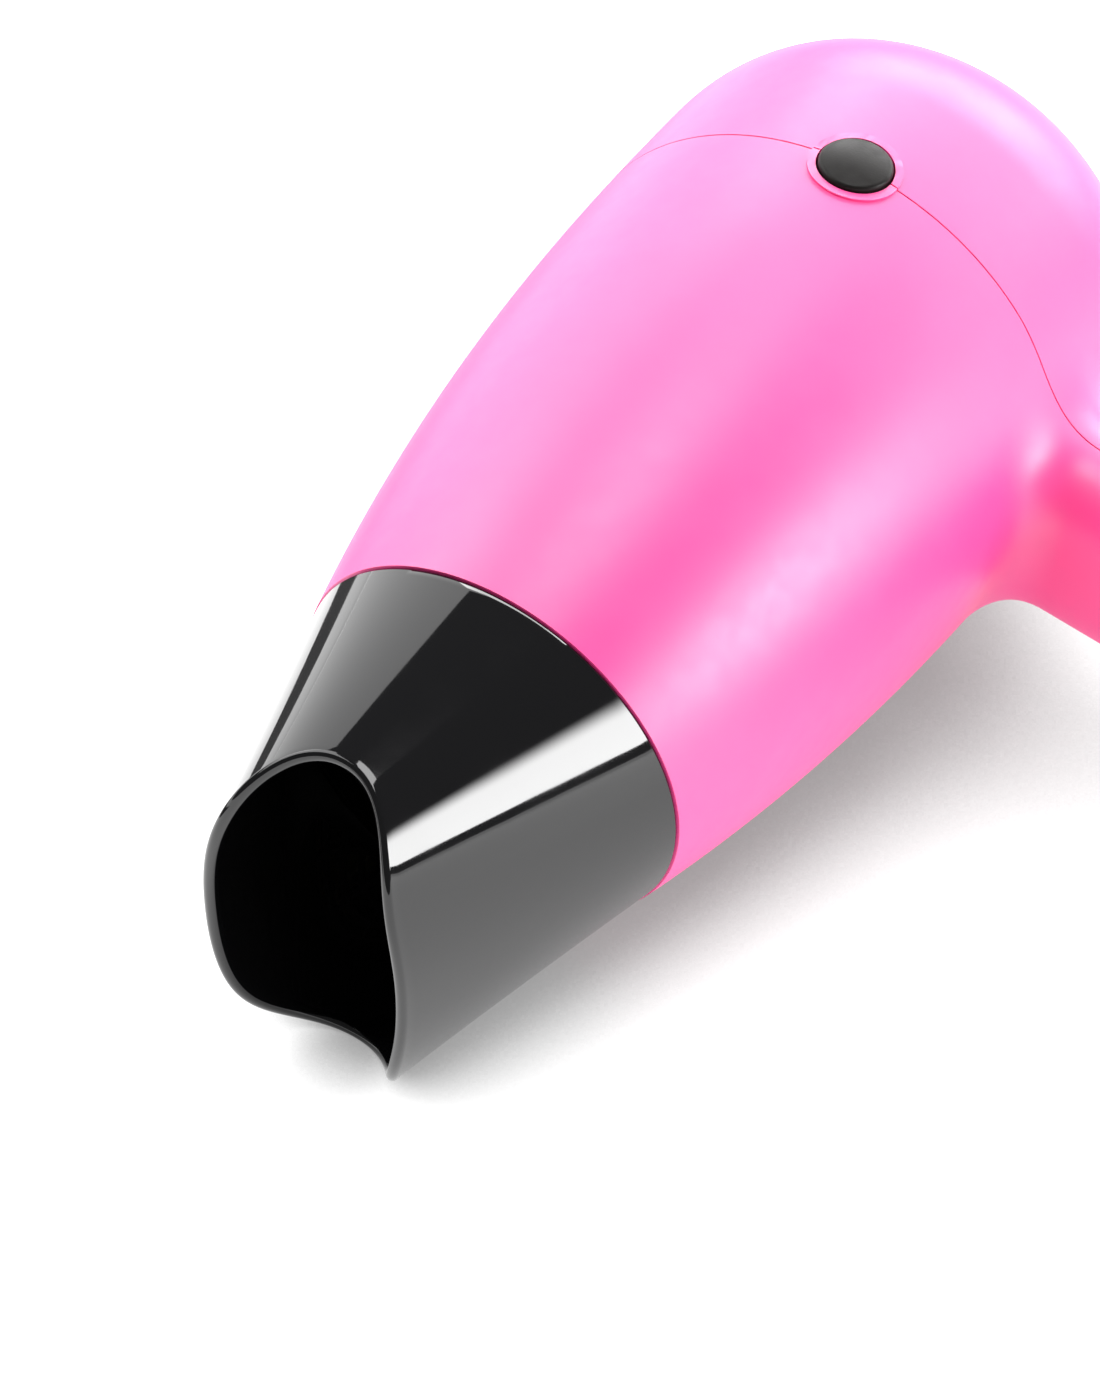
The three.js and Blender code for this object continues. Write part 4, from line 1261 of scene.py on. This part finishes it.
def pink_finish():
    """Soft-touch coating: a fine grain, barely uneven in colour."""
    finish = Finish("pink_soft_touch", (0.93, 0.05, 0.285), 0.45, [("Specular IOR Level", 1.0)])
    finish.tint(finish.spread(finish.noise(9), 0, 1), (0.92, 0.048, 0.28), (0.94, 0.053, 0.29))
    finish.rough(finish.spread(finish.noise(2.5), 0.43, 0.47))
    finish.bump(finish.noise(0.28, 3), 0.006)
    return finish.material


def floor_finish():
    """A white table glowing evenly as if lit, with a painted shadow that dims it near the object."""
    finish = Finish("floor_white", (0.03, 0.03, 0.03), 0.7)
    # Ambient occlusion paints the object's soft shadow onto the glowing table.
    near = finish.nodes.new("ShaderNodeAmbientOcclusion")
    near.samples = 16
    near.inputs["Distance"].default_value = 0.1
    glow_with_painted_shadow = finish.spread(near.outputs["AO"], 0.32, 2.2, 0.28, 0.95)
    finish.links.new(glow_with_painted_shadow, finish.shader.inputs["Emission Strength"])
    return finish.material


def gloss_finish():
    color = (0.004, 0.004, 0.0045)
    return moulded("black_gloss", color, 0.05, (6,), (0.035, 0.07), (5, 1), 0.008)


def satin_finish():
    color = (0.008, 0.007, 0.0065)
    dull = [("Specular IOR Level", 0.15)]
    return moulded("black_satin", color, 0.45, (1.2,), (0.34, 0.46), (0.3, 2), 0.01, dull)


def dark_plastic_finish():
    return moulded("dark_plastic", (0.012, 0.012, 0.013), 0.5, (1.5,), (0.45, 0.6), (0.35, 2), 0.02)


def steel_finish():
    metal = [("Metallic", 1.0)]
    return moulded("steel", (0.5, 0.51, 0.53), 0.35, (0.8, 4), (0.25, 0.42), (0.2, 3), 0.006, metal)


def wire_finish():
    """Resistance wire, coloured by heat in places."""
    finish = Finish("heater_wire", (0.3, 0.27, 0.23), 0.4, [("Metallic", 1.0)])
    finish.tint(finish.spread(finish.noise(4), 0, 1), (0.33, 0.29, 0.25), (0.2, 0.15, 0.16))
    finish.bump(finish.noise(0.3), 0.01)
    return finish.material


def mica_finish():
    """Layered sheet with pale flakes."""
    finish = Finish("mica", (0.5, 0.42, 0.27), 0.4)
    finish.tint(finish.spread(finish.noise(2.2, 5), 0, 1), (0.42, 0.34, 0.2), (0.62, 0.55, 0.4))
    finish.rough(finish.spread(finish.noise(1.1), 0.25, 0.5))
    finish.bump(finish.noise(0.8, 4), 0.03)
    return finish.material


def white_plastic_finish():
    return moulded("white_plastic", (0.72, 0.7, 0.64), 0.5, (1.5,), (0.42, 0.55), (0.4, 2), 0.015)


def board_finish():
    finish = Finish("circuit_board", (0.03, 0.17, 0.06), 0.35)
    patches = finish.spread(finish.noise(1.6, 1), 0, 1, 0.45, 0.55)
    finish.tint(patches, (0.03, 0.17, 0.06), (0.05, 0.24, 0.1))
    finish.bump(finish.noise(0.5), 0.02)
    return finish.material


def rubber_finish():
    return moulded("black_rubber", (0.012, 0.012, 0.012), 0.75, (1.2,), (0.68, 0.82), (0.3, 3), 0.03)


MAKERS = {
    "pink_shell": pink_finish,
    "gloss_black": gloss_finish,
    "satin_black": satin_finish,
    "dark_plastic": dark_plastic_finish,
    "steel": steel_finish,
    "heater_wire": wire_finish,
    "mica": mica_finish,
    "white_plastic": white_plastic_finish,
    "circuit_board": board_finish,
    "black_rubber": rubber_finish,
}

# ---------------------------------------------------------------- the scene

bpy.context.scene.view_settings.view_transform = "Standard"
camera()
floor()
world(0.15)
softbox("key", azimuth=107, elevation=18, distance=1.0, size=(0.34, 0.48), brightness=21, fade=0.4)
softbox("panel", azimuth=-116, elevation=25, distance=1.0, size=(0.85, 0.95), brightness=2.5)
softbox("front", azimuth=-75, elevation=45, distance=1.1, size=(0.8, 0.8), brightness=4.6)
softbox("back", azimuth=-165, elevation=33, distance=1.0, size=(0.8, 0.4), brightness=9.5)
softbox("top", azimuth=180, elevation=84, distance=1.2, size=(0.5, 0.5), brightness=8.5)
softbox("rear", azimuth=160, elevation=25, distance=1.0, size=(0.6, 0.5), brightness=6.5)
dark_card("table_edge", low=(-0.2, -0.3), high=(0.3, -0.175))

FINISHES = {slot: make() for slot, make in MAKERS.items()}
SLOTS = {part["node"]: part["material_slot"] for part in frame["record"]["subparts"]}
for name, node in frame["nodes"].items():
    node.data.materials.clear()
    node.data.materials.append(FINISHES[SLOTS[name]])

housing_shells()
nozzle()
disc("button", 1, "cool_shot_button", "cool_shot")
disc("plug", -1, "side_plug", "housing")
cool_shot_spring()
nozzle_ring_piece()
mouth_ring_piece()
outlet_grille_piece()
inlet_grille_piece()
filter_piece()
handle_shells()
for screw_name, screw_s in SCREWS.items():
    screw(screw_name, screw_s, "handle" if "handle" in screw_name else "housing")
hinge_cap(1, "hinge_cap_left")
hinge_cap(-1, "hinge_cap_right")
speed_slider()
voltage_selector()
cord_gland()
hanging_loop()
